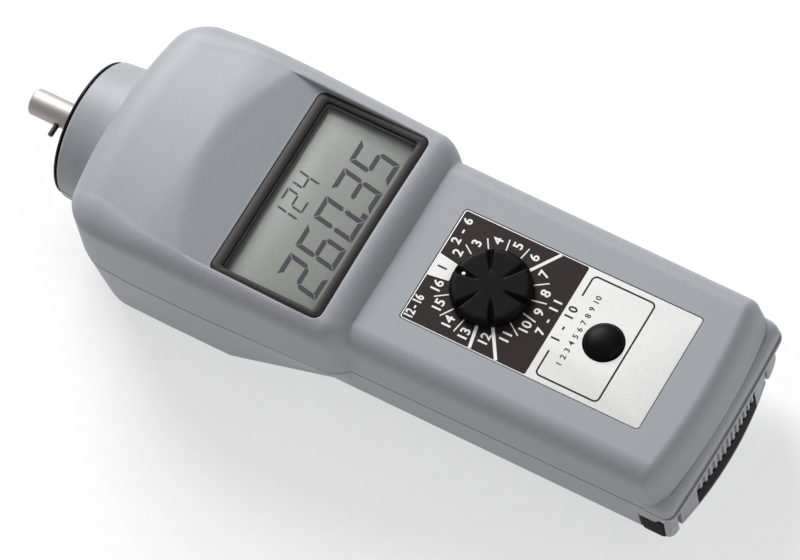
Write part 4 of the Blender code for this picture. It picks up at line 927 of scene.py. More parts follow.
def half_core(upper):
    """What the cavity takes out of a half."""
    stations = [(x, end) for x, end in length_lines() if end or x < CORE_ENDS_X[0] or x > CORE_ENDS_X[1]]
    stations += [(x, 0.0) for x in CORE_LINES]
    stations.sort()
    sides = [0, 4, 8, len(FLAT_LINES), len(FLAT_LINES) + 4, LAST_LINE]
    heights = [(0.0, 0.0), (0.5, 0.0), (1.0, 0.0)] + HEIGHT_LINES[-len(CORNER_STEPS):]
    return half_block(upper, stations, sides, heights, inset=WALL, carved=False)


def display_tub():
    """Everything over the underside of the display recess; the shell stays solid there."""
    bend_x = BEZEL[0].x - TUB_MARGIN
    end_x = BEZEL[1].x + TUB_MARGIN + GAP
    under = BEZEL[0].z - TUB_FLOOR_SKIN
    side_view = [(CREST_X, ABOVE_ALL), (CREST_X, hood_floor(CREST_X) - TUB_SKIN),
                 (bend_x, hood_floor(bend_x) - TUB_SKIN), (bend_x, under), (end_x, under),
                 (end_x, ABOVE_ALL)]
    half = -BEZEL[0].y + TUB_MARGIN
    return lofted([[(x, y, z) for x, z in side_view] for y in (-half, half)])


def nose_boss(upper):
    """Half of the drafted cup round the shaft, its front edge and its root rounded."""
    root_x = HEAD_FRONT_X + BOSS_ROOT_DEPTH
    profile = [(BOSS_FRONT_X, BOSS_MOUTH_RADIUS)]
    for radius, inset in rounded_edge(BOSS_FRONT_RADIUS, BOSS_ROUNDING, 6):
        profile.append((BOSS_FRONT_X + inset, radius))
    inside_x = BOSS_FRONT_X + WALL
    profile += BOSS_FLARE + [(root_x, BOSS_ROOT_RADIUS), (root_x, BOSS_BORE_RADIUS),
                             (inside_x, BOSS_BORE_RADIUS), (inside_x, BOSS_MOUTH_RADIUS)]
    return half_of(turned(profile, steps=96, ring=True), upper)


def bead_root_x(y):
    """Where the bead starts inside the tail wall, drawn in with the wall's rounded corners."""
    corner = share_of(abs(y), (HANDLE_TAIL_HALF_WIDTH - EDGE_RADIUS, HANDLE_TAIL_HALF_WIDTH))
    drawn_in = TAIL_ROUND_LENGTH * (1 - math.sqrt(1 - corner * corner))
    return TAIL_WALL_X - BEAD_ROOT - y * y / (2 * TAIL_BOW_RADIUS) - drawn_in


def tail_bead(upper):
    """Half of the rounded bead across the tail: bowed, with rounded ends."""
    reach_x = TAIL_WALL_X + (BEAD_UPPER_PROUD if upper else BEAD_LOWER_PROUD)
    height = BEAD_UPPER_HEIGHT if upper else BEAD_LOWER_HEIGHT
    straight = HANDLE_TAIL_HALF_WIDTH + BEAD_END_PAST_SIDE - BEAD_END_LENGTH
    stations = [(y, 0.0) for y in steps_between(0.0, straight, 12)]
    for turn in quarter_turn(6)[1:]:
        drop = BEAD_END_DROP * (1 - math.cos(turn))
        stations.append((straight + BEAD_END_LENGTH * math.sin(turn), drop))
    stations = [(-y, drop) for y, drop in reversed(stations[1:])] + stations
    rings = []
    for y, drop in stations:
        outer = reach_x - y * y / (2 * BEAD_BOW_RADIUS) - drop
        root = bead_root_x(y)
        tall = height - drop
        round_z = min(BEAD_ROUNDING, BEAD_ROUND_SHARE * tall)
        top_edge = []
        for angle in quarter_turn(8):
            top_edge.append((outer - BEAD_ROUNDING * (1 - math.cos(angle)),
                             tall - round_z * (1 - math.sin(angle))))
        low_edge = [(x, -z) for x, z in reversed(top_edge)]
        profile = [(root, -tall)] + low_edge + top_edge + [(root, tall)]
        rings.append([(x, y, z) for x, z in profile])
    return half_of(lofted(rings), upper)


def bead_slot():
    """The thin slot between the tail wall and the bead under it."""
    rings = []
    low = TAIL_SLOPE_FROM_Z - 0.1
    high = BEAD_UPPER_HEIGHT + 0.1
    for y in steps_between(-BEAD_SLOT_HALF_LENGTH, BEAD_SLOT_HALF_LENGTH, 24):
        x = bead_root_x(y) + BEAD_ROOT - BEAD_SLOT
        outside = x + 4.0
        rings.append([(x, y, low), (outside, y, low), (outside, y, high), (x, y, high)])
    return lofted(rings)


def rod(radius, at, low, high, axis="Z", steps=48):
    """A plain round rod, for a post or a hole, along the axis through (x, y)."""
    return turned([(low, 0.0), (low, radius), (high, radius), (high, 0.0)], (*at, 0.0), axis, steps)


def opening_over(plan, grown, corner, low):
    """What a rounded opening that is larger than the plan takes out, from low upwards."""
    return slab(grown_plan(plan, grown, corner), low, ABOVE_ALL)


def front_wall_hole():
    """The bore from the boss into the head."""
    start = BOSS_FRONT_X + WALL + GAP
    return rod(BOSS_BORE_RADIUS - 0.4, (0.0, 0.0), start, start + 16.0, "X", 64)


def make_top_shell():
    core = worked(half_core(True), ("DIFFERENCE", [display_tub()]))
    posts = [rod(POST_RADIUS, at, JOINT_HALF_GAP, top_at(*at) - WALL / 2, steps=24)
             for at in SCREW_PLACES]
    openings = [
        front_wall_hole(),
        opening_over(BEZEL_PLAN, 0.1, 1.9, BEZEL[0].z - 0.2),
        opening_over(((LCD[0].x, LCD[1].x), (LCD[0].y - 0.1, LCD[1].y + 0.1)), 0.3, 1.0, INSIDE_Z),
        opening_over(LABEL_PLAN, 0.25, 0.85, LABEL[0].z - 0.1),
        rod(SPINDLE[1].y + 0.5, KNOB_AT, INSIDE_Z, ABOVE_ALL),
        rod(MEMORY_RADIUS + GAP, MEMORY_AT, INSIDE_Z, ABOVE_ALL),
        box_form((KEY_X[0] - GAP, KEY_HOLE_Y[0], KEY_Z[0] - GAP),
                 (KEY_X[1] + GAP, KEY_HOLE_Y[1], KEY_Z[1] + GAP)),
        bead_slot(),
    ]
    pilots = [rod(SCREW_HOLE_RADIUS, at, -1.0, 8.5, steps=16) for at in SCREW_PLACES]
    form = worked(
        half_skin(True),
        ("DIFFERENCE", [core]),
        ("UNION", [nose_boss(True), tail_bead(True)] + posts),
        ("DIFFERENCE", openings + pilots),
    )
    piece("upper_housing", form, case_plastic, "casing", ["top_shell"])


def cover_bow(y, inset=0.0):
    """The bowed rear edge of the battery cover."""
    radius = COVER_BOW_RADIUS - inset
    return COVER_BOW_X - COVER_BOW_RADIUS + math.sqrt(radius * radius - y * y)


def bowed_plate(edges, x_from, half, inside):
    """A plate with the cover's bowed rear edge; the edges are its heights and insets."""
    rings = []
    for z, inset in edges:
        reach = half - inset
        outline = [(x_from + inset, reach), (x_from + inset, -reach)]
        outline += [(cover_bow(y, inside + inset), y) for y in steps_between(-reach, reach, 16)]
        rings.append(level(outline, z))
    return lofted(rings)


def rear_corner(reach, inner, top, grown, rounding, side):
    """A block in a lower rear corner of the housing, following its rounded underside."""
    centre_y = HANDLE_FLOOR_HALF_WIDTH - EDGE_RADIUS
    centre_z = EDGE_RADIUS - HANDLE_DEPTH
    ends = rounded_edge(0.0, rounding, 3)
    stations = [(reach[0] - step, inset) for step, inset in reversed(ends)]
    stations += [(reach[1] + step, inset) for step, inset in ends]
    rings = []
    for x, inset in stations:
        radius = EDGE_RADIUS + grown - inset
        last = math.acos((inner + inset - centre_y) / radius)
        outline = [(inner + inset, top - inset), (centre_y + radius, top - inset)]
        for angle in steps_between(0.0, last, 7):
            outline.append((centre_y + radius * math.cos(angle), centre_z - radius * math.sin(angle)))
        rings.append([(x, side * y, z) for y, z in outline])
    return lofted(rings)


def make_back_shell():
    posts = [rod(POST_RADIUS, at, -depth_at(at[0]) + WALL / 2, -JOINT_HALF_GAP, steps=24)
             for at in SCREW_PLACES]
    floor_top = -HANDLE_DEPTH + WALL
    half = COVER[1].y + GAP
    rear_half = COVER[1].y + COVER_SLIT
    openings = [
        front_wall_hole(),
        box_form((COVER_FROM_X - GAP, -half, BELOW_ALL), (PAST_TAIL_X, half, floor_top + 0.2)),
        box_form((COVER_WALL_X - GAP, -rear_half, BELOW_ALL), (PAST_TAIL_X, rear_half, COVER[1].z + 0.2)),
    ]
    foot_room = (FOOT_REACH[0] - FOOT_GAP, FOOT_REACH[1] + FOOT_GAP)
    ledges = []
    corners = []
    pockets = []
    for side in (1, -1):
        across = sorted((side * (COVER[1].y - LEDGE_OVERLAP), side * (HANDLE_FLOOR_HALF_WIDTH - 1.2)))
        ledges.append(box_form((LEDGE_FROM_X, across[0], floor_top + GAP),
                               (LEFT_FOOT[0].x - 1.0, across[1], floor_top + 1.9)))
        corners.append(rear_corner(CORNER_REACH, rear_half - 0.3, CORNER_TOP_Z, -0.05, 1.2, side))
        pockets.append(rear_corner(foot_room, LEFT_FOOT[0].y - FOOT_GAP, FOOT_TOP_Z + FOOT_GAP,
                                   2.0, 0.1, side))
    seats = []
    for at in SCREW_PLACES:
        floor = -depth_at(at[0])
        seats.append(rod(SCREW_SEAT_RADIUS, at, floor - 1, floor + 3, steps=32))
        seats.append(rod(SCREW_HOLE_RADIUS, at, floor, floor + 40, steps=16))
    form = worked(
        half_skin(False),
        ("DIFFERENCE", [half_core(False)]),
        ("UNION", [nose_boss(False), tail_bead(False)] + posts + ledges + corners),
        ("DIFFERENCE", openings + pockets + seats),
    )
    piece("lower_housing", form, case_plastic, "casing", ["back_shell"])


# Nose and shaft

RING_BORE_RADIUS = 5.2
RING_GROOVE = (10.2, 11.2)
RING_GROOVE_DEPTH = 0.15
CENTRE_DRILL_RADIUS = 1.0
PIN_HOLE_RADIUS = 0.8


def crosswise(form, x, start_y):
    """The form turned to run from start_y towards the near side."""
    bmesh.ops.rotate(form, matrix=Matrix.Rotation(math.radians(-90), 3, "Z"), verts=form.verts)
    bmesh.ops.translate(form, vec=(x, start_y, 0.0), verts=form.verts)
    return form


def make_nose():
    front, back = NOSE_RING[0].x, NOSE_RING[1].x
    outer, inner = NOSE_RING[1].y, RING_BORE_RADIUS
    groove_in, groove_out = RING_GROOVE
    groove_x = front + RING_GROOVE_DEPTH
    profile = [(back, outer), (front + 0.22, outer), (front + 0.07, outer - 0.07), (front, outer - 0.25),
               (front, groove_out), (groove_x, groove_out - 0.15), (groove_x, groove_in + 0.15),
               (front, groove_in), (front, inner + 0.4), (front + 0.1, inner + 0.1),
               (front + 0.35, inner), (back, inner)]
    piece("nose_cap_ring", turned(profile, steps=96, ring=True), ring_plastic, "casing", ["nose_ring"])
    radius = SHAFT[1].y
    tip, end = SHAFT[0].x, SHAFT[1].x
    drill = CENTRE_DRILL_RADIUS
    body = [(tip + drill, 0.0), (tip + 0.1, drill), (tip, drill + 0.15), (tip, radius - 0.55),
            (tip + 0.08, radius - 0.4), (tip + 0.42, radius - 0.06), (tip + 0.6, radius), (1.0, radius),
            (end - 0.5, radius), (end, radius - 0.5), (end, 0.0)]
    pin_x = middle_x(PIN)
    bore = crosswise(rod(PIN_HOLE_RADIUS, (0.0, 0.0), 0.0, 12.0, "X", 24), pin_x, PIN[1].y + 0.2)
    shaft = worked(turned(body, steps=72), ("DIFFERENCE", [bore]))
    piece("turned_shaft", shaft, shaft_steel, "spindle", ["measuring_shaft"])
    pin_radius = (PIN[1].x - PIN[0].x) / 2
    length = PIN[1].y - PIN[0].y
    profile = [(0.0, 0.0), (0.0, pin_radius), (length - 0.2, pin_radius),
               (length - 0.05, pin_radius - 0.15), (length, pin_radius - 0.35), (length, 0.0)]
    pin = crosswise(turned(profile, steps=24), pin_x, PIN[1].y)
    piece("drive_dog", pin, part_plastic, "spindle", ["drive_pin"])


# Display

def make_bezel():
    """The black frame, with a rounded rim and a lip that reaches over the edge of the window."""
    low, high = BEZEL[0].z, BEZEL[1].z
    lip = WINDOW[1].z + 0.03
    rings = []
    for inset, z in ((0.0, low), (0.0, high - 0.3), (0.1, high - 0.09), (0.3, high)):
        rings.append(level(grown_plan(BEZEL_PLAN, -inset, BEZEL_CORNER - inset), z))
    for grown, z in ((0.25, high), (0.08, high - 0.06), (0.0, high - 0.25), (0.0, lip),
                     (BEZEL_LIP, lip), (BEZEL_LIP, low)):
        rings.append(level(grown_plan(BEZEL_OPENING, grown, OPENING_CORNER + grown), z))
    piece("bezel_frame", lofted(rings, caps=False), bezel_plastic, "casing", ["display_bezel"])


# Rows of figures: figures, width, height, stroke, first y, pitch, x of their foot
READING = ("26035", 6.0, 11.0, 1.15, -20.3, 7.9, 78.0)
SMALL_READING = ("124", 3.5, 6.2, 0.5, -8.1, 4.9, 64.4)
POINT_Y = 2.45
POINT = ((-0.7, 0.0), (0.7, 0.0), (0.9, 1.5), (-0.5, 1.5))
BAR_GAP = 0.14
FIGURE_THICKNESS = 0.06
SLANT = 0.17
SEGMENTS = {"0": "abcdef", "1": "bc", "2": "abdeg", "3": "abcdg", "4": "bcfg", "5": "acdfg",
            "6": "acdefg", "7": "abc", "8": "abcdefg", "9": "abcdfg"}


def segment_outlines(width, height, stroke, gap=BAR_GAP):
    """The seven bars of a digit as outlines of (across, up) points."""
    half = height / 2
    tip = stroke / 2
    bars = {
        "a": [(gap, height), (width - gap, height), (width - gap - stroke, height - stroke),
              (gap + stroke, height - stroke)],
        "d": [(gap + stroke, stroke), (width - gap - stroke, stroke), (width - gap, 0.0), (gap, 0.0)],
        "g": [(gap + tip, half), (gap + stroke, half + tip), (width - gap - stroke, half + tip),
              (width - gap - tip, half), (width - gap - stroke, half - tip), (gap + stroke, half - tip)],
        "f": [(0.0, height - gap), (stroke, height - gap - stroke), (stroke, half + gap + tip),
              (tip, half + gap), (0.0, half + gap + tip)],
        "e": [(0.0, half - gap - tip), (tip, half - gap), (stroke, half - gap - tip),
              (stroke, gap + stroke), (0.0, gap)],
    }
    for right, left in (("b", "f"), ("c", "e")):
        bars[right] = [(width - across, up) for across, up in bars[left]]
    return bars


def figure_row(figures, width, height, stroke, first_y, pitch, foot_x, low, high):
    """Slanted seven-bar figures that read towards +Y with their tops towards the shaft."""
    forms = []
    bars = segment_outlines(width, height, stroke)
    for index, figure in enumerate(figures):
        left_y = first_y + pitch * index
        for name in SEGMENTS[figure]:
            outline = [(foot_x - up, left_y + across + SLANT * up) for across, up in bars[name]]
            forms.append(slab(outline, low, high))
    return forms


def make_display():
    make_bezel()
    panel = bead_plate(LCD_PLAN, 0.5, LCD[0].z, LCD[1].z - FIGURE_THICKNESS / 2, 0.15, 3)
    piece("display_field", panel, lcd_field, "casing", ["lcd_panel"])
    low, high = LCD[1].z - FIGURE_THICKNESS, LCD[1].z
    foot_x = READING[-1]
    point = slab([(foot_x - up, POINT_Y + across) for across, up in POINT], low, high)
    forms = figure_row(*READING, low, high) + [point] + figure_row(*SMALL_READING, low, high)
    piece("display_figures", joined(*forms), lcd_ink, "casing", smooth=20)
    window = bead_plate(WINDOW_PLAN, 0.6, WINDOW[0].z, WINDOW[1].z, 0.1, 2)
    piece("window_pane", window, window_clear, "casing", ["display_window"])


# Dial label

DIAL_X = KNOB_AT[0]
LABEL_SPLIT_X = 127.9
LABEL_TOP = LABEL[1].z
INK = 0.03
POSITIONS = 16
PITCH = 360 / POSITIONS
NUMERAL_RADIUS = 12.1
NUMERAL_SIZE = 3.2
TICK_REACH = (9.2, 12.8)
TICK_HALF_WIDTH = 0.15
TICK_RUNS = ((4, 146.25), (4, 33.75), (3, -101.25))
MEMORY_FRAME = ((129.6, 145.5), (-13.5, 13.5))
FRAME_LINE = 0.4
PRINT_INSET = 0.25
FRAME_CORNER = 1.3
WORD_GAP = ((129.0, -7.0), (130.6, 7.8))
FIRST_POSITION_AT = (98.9, -0.1)

# Dividers from the dial to the label's edge: their angle on the dial, the x and side they reach
DIVIDERS = ((57.3, 120.9, 1), (-81.0, 113.9, -1), (-58.7, 120.6, -1))
DIVIDER_RADIUS = 8.8
DIVIDER_WIDTH = 0.75

# Words as (words, size, place, weight, letter spacing, width)
DARK_WORDS = (("1 - 10", 2.9, (129.75, 0.0), 0.07, 1.35, 1.0),
              ("1 2 3 4 5 6 7 8 9 10", 1.9, (133.4, 0.0), 0.03, 1.2, 1.0))
WHITE_WORDS = (("2 - 6", 3.0, (98.3, 9.7), 0.08, 1.2, 1.0),
               ("12 - 16", 3.0, (98.0, -11.2), 0.08, 0.9, 0.8),
               ("7 - 11", 2.9, (125.95, 0.0), 0.08, 1.35, 1.0))


def text_form(words, size, at, low, high, heavy=0.0, spread=1.0, width=1.0):
    """Figures that read towards +Y with their tops towards the shaft, centred on (x, y)."""
    curve = bpy.data.curves.new("figures", "FONT")
    curve.body = words
    curve.size = size
    curve.align_x = "CENTER"
    curve.align_y = "CENTER"
    curve.offset = heavy
    curve.space_character = spread
    curve.resolution_u = 4
    item = linked("figures", curve)
    form = form_of(evaluated_mesh(item))
    bpy.data.objects.remove(item)
    bmesh.ops.remove_doubles(form, verts=form.verts, dist=0.0001)
    bmesh.ops.scale(form, vec=(width, 1.0, 1.0), verts=form.verts)
    pulled = bmesh.ops.extrude_face_region(form, geom=form.faces[:])
    raised = [part for part in pulled["geom"] if isinstance(part, bmesh.types.BMVert)]
    bmesh.ops.translate(form, vec=(0, 0, high - low), verts=raised)
    turn = Matrix(((0, -1, 0), (1, 0, 0), (0, 0, 1)))
    bmesh.ops.rotate(form, matrix=turn, verts=form.verts)
    bmesh.ops.translate(form, vec=(at[0], at[1], low), verts=form.verts)
    bmesh.ops.recalc_face_normals(form, faces=form.faces)
    return form


def copies_tree():
    """Copies of a piece, each moved and turned by one step more than the last."""
    tree = bpy.data.node_groups.new("stepped_copies", "GeometryNodeTree")
    face = tree.interface
    face.new_socket("Geometry", in_out="INPUT", socket_type="NodeSocketGeometry")
    for name, kind in (("Piece", "Object"), ("Count", "Int"), ("Start", "Vector"), ("Step", "Vector"),
                       ("First Turn", "Float"), ("Turn Step", "Float"), ("Finish", "Material")):
        face.new_socket(name, in_out="INPUT", socket_type="NodeSocket" + kind)
    face.new_socket("Geometry", in_out="OUTPUT", socket_type="NodeSocketGeometry")
    nodes, links = tree.nodes, tree.links
    given = nodes.new("NodeGroupInput").outputs
    result = nodes.new("NodeGroupOutput")
    index = nodes.new("GeometryNodeInputIndex").outputs[0]
    shift = nodes.new("ShaderNodeVectorMath")
    shift.operation = "SCALE"
    place = nodes.new("ShaderNodeVectorMath")
    place.operation = "ADD"
    angle = nodes.new("ShaderNodeMath")
    angle.operation = "MULTIPLY_ADD"
    turn = nodes.new("ShaderNodeCombineXYZ")
    points = nodes.new("GeometryNodePoints")
    source = nodes.new("GeometryNodeObjectInfo")
    copy = nodes.new("GeometryNodeInstanceOnPoints")
    real = nodes.new("GeometryNodeRealizeInstances")
    paint = nodes.new("GeometryNodeSetMaterial")
    for start, end in (
        (given["Step"], shift.inputs[0]), (index, shift.inputs["Scale"]),
        (shift.outputs[0], place.inputs[0]), (given["Start"], place.inputs[1]),
        (index, angle.inputs[0]), (given["Turn Step"], angle.inputs[1]),
        (given["First Turn"], angle.inputs[2]), (angle.outputs[0], turn.inputs["Z"]),
        (given["Count"], points.inputs["Count"]), (place.outputs[0], points.inputs["Position"]),
        (given["Piece"], source.inputs["Object"]), (points.outputs[0], copy.inputs["Points"]),
        (source.outputs["Geometry"], copy.inputs["Instance"]), (turn.outputs[0], copy.inputs["Rotation"]),
        (copy.outputs[0], real.inputs[0]), (real.outputs[0], paint.inputs["Geometry"]),
        (given["Finish"], paint.inputs["Material"]), (paint.outputs[0], result.inputs[0]),
    ):
        links.new(start, end)
    return tree


COPIES = copies_tree()


def copies(form, count, start=(0, 0, 0), step=(0, 0, 0), first_turn=0.0, turn_step=0.0):
    """The form repeated along a line or round a fan, as one form."""
    source = linked("source", mesh_of(form))
    holder = linked("holder", bpy.data.meshes.new("holder"))
    modifier = holder.modifiers.new("copies", "NODES")
    modifier.node_group = COPIES
    values = {"Piece": source, "Count": count, "Start": start, "Step": step,
              "First Turn": math.radians(first_turn), "Turn Step": math.radians(turn_step),
              "Finish": label_white}
    for socket in COPIES.interface.items_tree:
        if socket.in_out == "INPUT" and socket.name in values:
            modifier[socket.identifier] = values[socket.name]
    result = form_of(evaluated_mesh(holder))
    bpy.data.objects.remove(holder)
    bpy.data.objects.remove(source)
    return result


def stroke_form(start, end, width, low, high):
    """A flat bar from one (x, y) place to another."""
    along = (Vector(end) - Vector(start)).normalized() * width / 2
    side = Vector((-along.y, along.x))
    corners = [Vector(start) + side, Vector(start) - side, Vector(end) - side, Vector(end) + side]
    return slab([tuple(point) for point in corners], low, high)


def polar(radius, degrees):
    angle = math.radians(degrees)
    return (DIAL_X + radius * math.cos(angle), radius * math.sin(angle))


def make_dark_print(low, high):
    """The dial's dark field, the line round the memory button, and the dark words."""
    (first_x, _), (first_y, last_y) = LABEL_PLAN
    field_plan = ((first_x, LABEL_SPLIT_X + PRINT_INSET), (first_y, last_y))
    field = worked(slab(grown_plan(field_plan, -PRINT_INSET, 0.5), low, high),
                   ("DIFFERENCE", [rod(SPINDLE[1].y + 0.45, KNOB_AT, INSIDE_Z, ABOVE_ALL)]))
    outer = grown_plan(MEMORY_FRAME, 0.0, FRAME_CORNER)
    inner = grown_plan(MEMORY_FRAME, -FRAME_LINE, FRAME_CORNER - FRAME_LINE)
    rings = [level(outer, low), level(outer, high), level(inner, high), level(inner, low)]
    word_gap = box_form((*WORD_GAP[0], INSIDE_Z), (*WORD_GAP[1], ABOVE_ALL))
    line = worked(lofted(rings, caps=False), ("DIFFERENCE", [word_gap]))
    words = [text_form(*entry[:3], low, high, *entry[3:]) for entry in DARK_WORDS]
    piece("dial_dark_print", joined(field, line, *words), label_dark, "casing", smooth=20)


def make_white_print(low, high):
    """Ticks, dividers, the first position's field, numerals and the white words."""
    forms = []
    near, far = TICK_REACH
    half = TICK_HALF_WIDTH
    for count, first in TICK_RUNS:
        tick = slab([(near, -half), (far, -half), (far, half), (near, half)], 0.0, high - low)
        forms.append(copies(tick, count, (DIAL_X, 0.0, low), (0, 0, 0), first, -PITCH))
    for angle, end_x, side in DIVIDERS:
        end = (end_x, side * (LABEL[1].y - 0.3))
        forms.append(stroke_form(polar(DIVIDER_RADIUS, angle), end, DIVIDER_WIDTH, low, high))
    edge_x = LABEL[0].x + 0.3
    forms.append(slab([(edge_x, -3.1), (101.7, -2.4), (101.7, 2.0), (edge_x, 2.8)], low, high))
    for index in range(1, POSITIONS):
        at = polar(NUMERAL_RADIUS, 180 - PITCH * index)
        forms.append(text_form(str(index + 1), NUMERAL_SIZE, at, low, high, 0.07))
    forms += [text_form(*entry[:3], low, high, *entry[3:]) for entry in WHITE_WORDS]
    piece("dial_white_print", joined(*forms), label_white, "casing", smooth=20)


def make_label():
    """The label sheet and its two layers of print, with the first position in dark on white."""
    sheet_top = LABEL_TOP - 2 * INK
    holes = [rod(SPINDLE[1].y + 0.45, KNOB_AT, INSIDE_Z, ABOVE_ALL),
             rod(MEMORY_RADIUS + GAP, MEMORY_AT, INSIDE_Z, ABOVE_ALL)]
    sheet = worked(bead_plate(LABEL_PLAN, 0.7, LABEL[0].z, sheet_top, 0.06, 2), ("DIFFERENCE", holes))
    piece("dial_sheet", sheet, label_white, "casing", ["label_panel"])
    make_dark_print(sheet_top - 0.02, LABEL_TOP - INK)
    make_white_print(LABEL_TOP - INK - 0.02, LABEL_TOP)
    numeral = text_form("1", NUMERAL_SIZE, FIRST_POSITION_AT, LABEL_TOP - 0.01, LABEL_TOP + 0.015, 0.06)
    piece("dial_first_position", numeral, label_dark, "casing", smooth=20)


# Knob and buttons

KNOB_RADIUS = KNOB[1].y
KNOB_TOP = KNOB[1].z
KNOB_ROUNDING = 1.2
KNOB_EASED_EDGE = 0.15
GROOVES = 6
GROOVE_FROM = 3.6
GROOVE_SHOULDER = 1.25
KNOB_RINGS = (1.2, 2.2, 3.0, 3.4, 3.8, 4.2, 4.6, 5.4, 6.4, 7.4, KNOB_RADIUS - KNOB_ROUNDING)
MARK_SHARE = 0.75
BUTTON_DOME = 1.7


def groove_width(radius):
    return ramp(radius, (GROOVE_FROM, KNOB_RADIUS), 0.4, 1.15)


def groove_depth(radius):
    return ramp(radius, (3.2, 4.4), 0.0, 1.0) * ramp(radius, (GROOVE_FROM, KNOB_RADIUS), 0.3, 1.25)


def knob_ring(bm, radius, height):
    """One ring of the knob's grooved top: for each groove, its cosine hollow and the land after it."""
    sector = 2 * math.pi / GROOVES
    corners = []
    inner = max(radius, 2.0)
    for groove in range(GROOVES):
        for step in range(-6, 14):
            share = step / 4.8
            if step <= 6:
                angle = math.asin(min(share * groove_width(inner) / inner, 1.0))
                drop = 0.5 + 0.5 * math.cos(math.pi * min(abs(share), 1.0))
            else:
                edge = math.asin(min(GROOVE_SHOULDER * groove_width(inner) / inner, 1.0))
                angle = ramp(step, (6, 14), edge, sector - edge)
                drop = 0.0
            turn = groove * sector + angle
            z = min(height, KNOB_TOP - groove_depth(radius) * drop)
            corners.append(bm.verts.new((DIAL_X + radius * math.cos(turn), radius * math.sin(turn), z)))
    return corners


def make_knob():
    bm = bmesh.new()
    base = KNOB[0].z
    socket = SPINDLE[1].y + 0.3
    socket_top = SPINDLE[1].z + GAP
    rings = [[bm.verts.new((DIAL_X, 0.0, KNOB_TOP))]]
    for radius in KNOB_RINGS:
        rings.append(knob_ring(bm, radius, KNOB_TOP))
    for radius, drop in rounded_edge(KNOB_RADIUS, KNOB_ROUNDING, 6)[1:]:
        rings.append(knob_ring(bm, radius, KNOB_TOP - drop))
    for radius, z in ((KNOB_RADIUS, base + KNOB_EASED_EDGE), (KNOB_RADIUS - KNOB_EASED_EDGE, base),
                      (socket, base), (socket, socket_top)):
        rings.append(knob_ring(bm, radius, z))
    rings.append([bm.verts.new((DIAL_X, 0.0, socket_top))])
    for first, second in zip(rings, rings[1:]):
        skin(bm, first, second)
    bmesh.ops.recalc_face_normals(bm, faces=bm.faces)
    piece("grooved_knob", bm, knob_plastic, "selector", ["selector_knob"], smooth=40)
    mark_radius = MARK_SHARE * (KNOB_MARK[1].x - KNOB_MARK[0].x) / 2
    mark_at = (middle_x(KNOB_MARK), 0.0, 0.0)
    top = KNOB_MARK[1].z
    dot = turned([(KNOB_MARK[0].z, 0.0), (KNOB_MARK[0].z, mark_radius), (top - 0.2, mark_radius),
                  (top - 0.06, mark_radius * 0.8), (top, 0.0)], mark_at, "Z", 24)
    piece("pointer_dot", dot, label_white, "selector", ["knob_mark"])


def make_memory_button():
    """A low dome on a flange that keeps it under the housing's skin."""
    top = MEMORY[1].z
    flange = MEMORY[1].y
    flange_top = HANDLE_TOP - WALL - GAP
    dome = [(top, 0.0)]
    for angle in quarter_turn(8)[1:]:
        dome.append((top - BUTTON_DOME * (1 - math.cos(angle)), MEMORY_RADIUS * math.sin(angle)))
    dome += [(flange_top, MEMORY_RADIUS), (flange_top, flange), (MEMORY[0].z, flange), (MEMORY[0].z, 0.0)]
    piece("memory_key_dome", turned(dome, (*MEMORY_AT, 0.0), "Z", 64), knob_plastic, "memory_key",
          ["memory_button"])


def make_measure_key():
    """Push key in the far side, with three raised lines across its face."""
    face_y = MEASURE[1].y
    rings = []
    for y, inset in [(22.6, 0.0)] + rounded_edge(face_y - 0.3, 0.8, 4):
        outline = grown_plan((KEY_X, KEY_Z), -inset, 2.0 - inset)
        rings.append([(x, y, z) for x, z in outline])
    key = lofted(rings)
    flange = box_form(MEASURE[0], (MEASURE[1].x, MEASURE[0].y + 1.2, MEASURE[1].z))
    middle = (KEY_X[0] + KEY_X[1]) / 2
    ridge = box_form((-0.4, face_y - 0.6, KEY_Z[0] + 1.5), (0.4, face_y, KEY_Z[1] - 1.5), 0.25)
    ridges = copies(ridge, 3, (middle - 2.2, 0.0, 0.0), (2.2, 0.0, 0.0))
    piece("measure_key_cap", worked(key, ("UNION", [flange, ridges])), knob_plastic, "measure_key",
          ["measure_button"])


# Battery cover, feet and screws

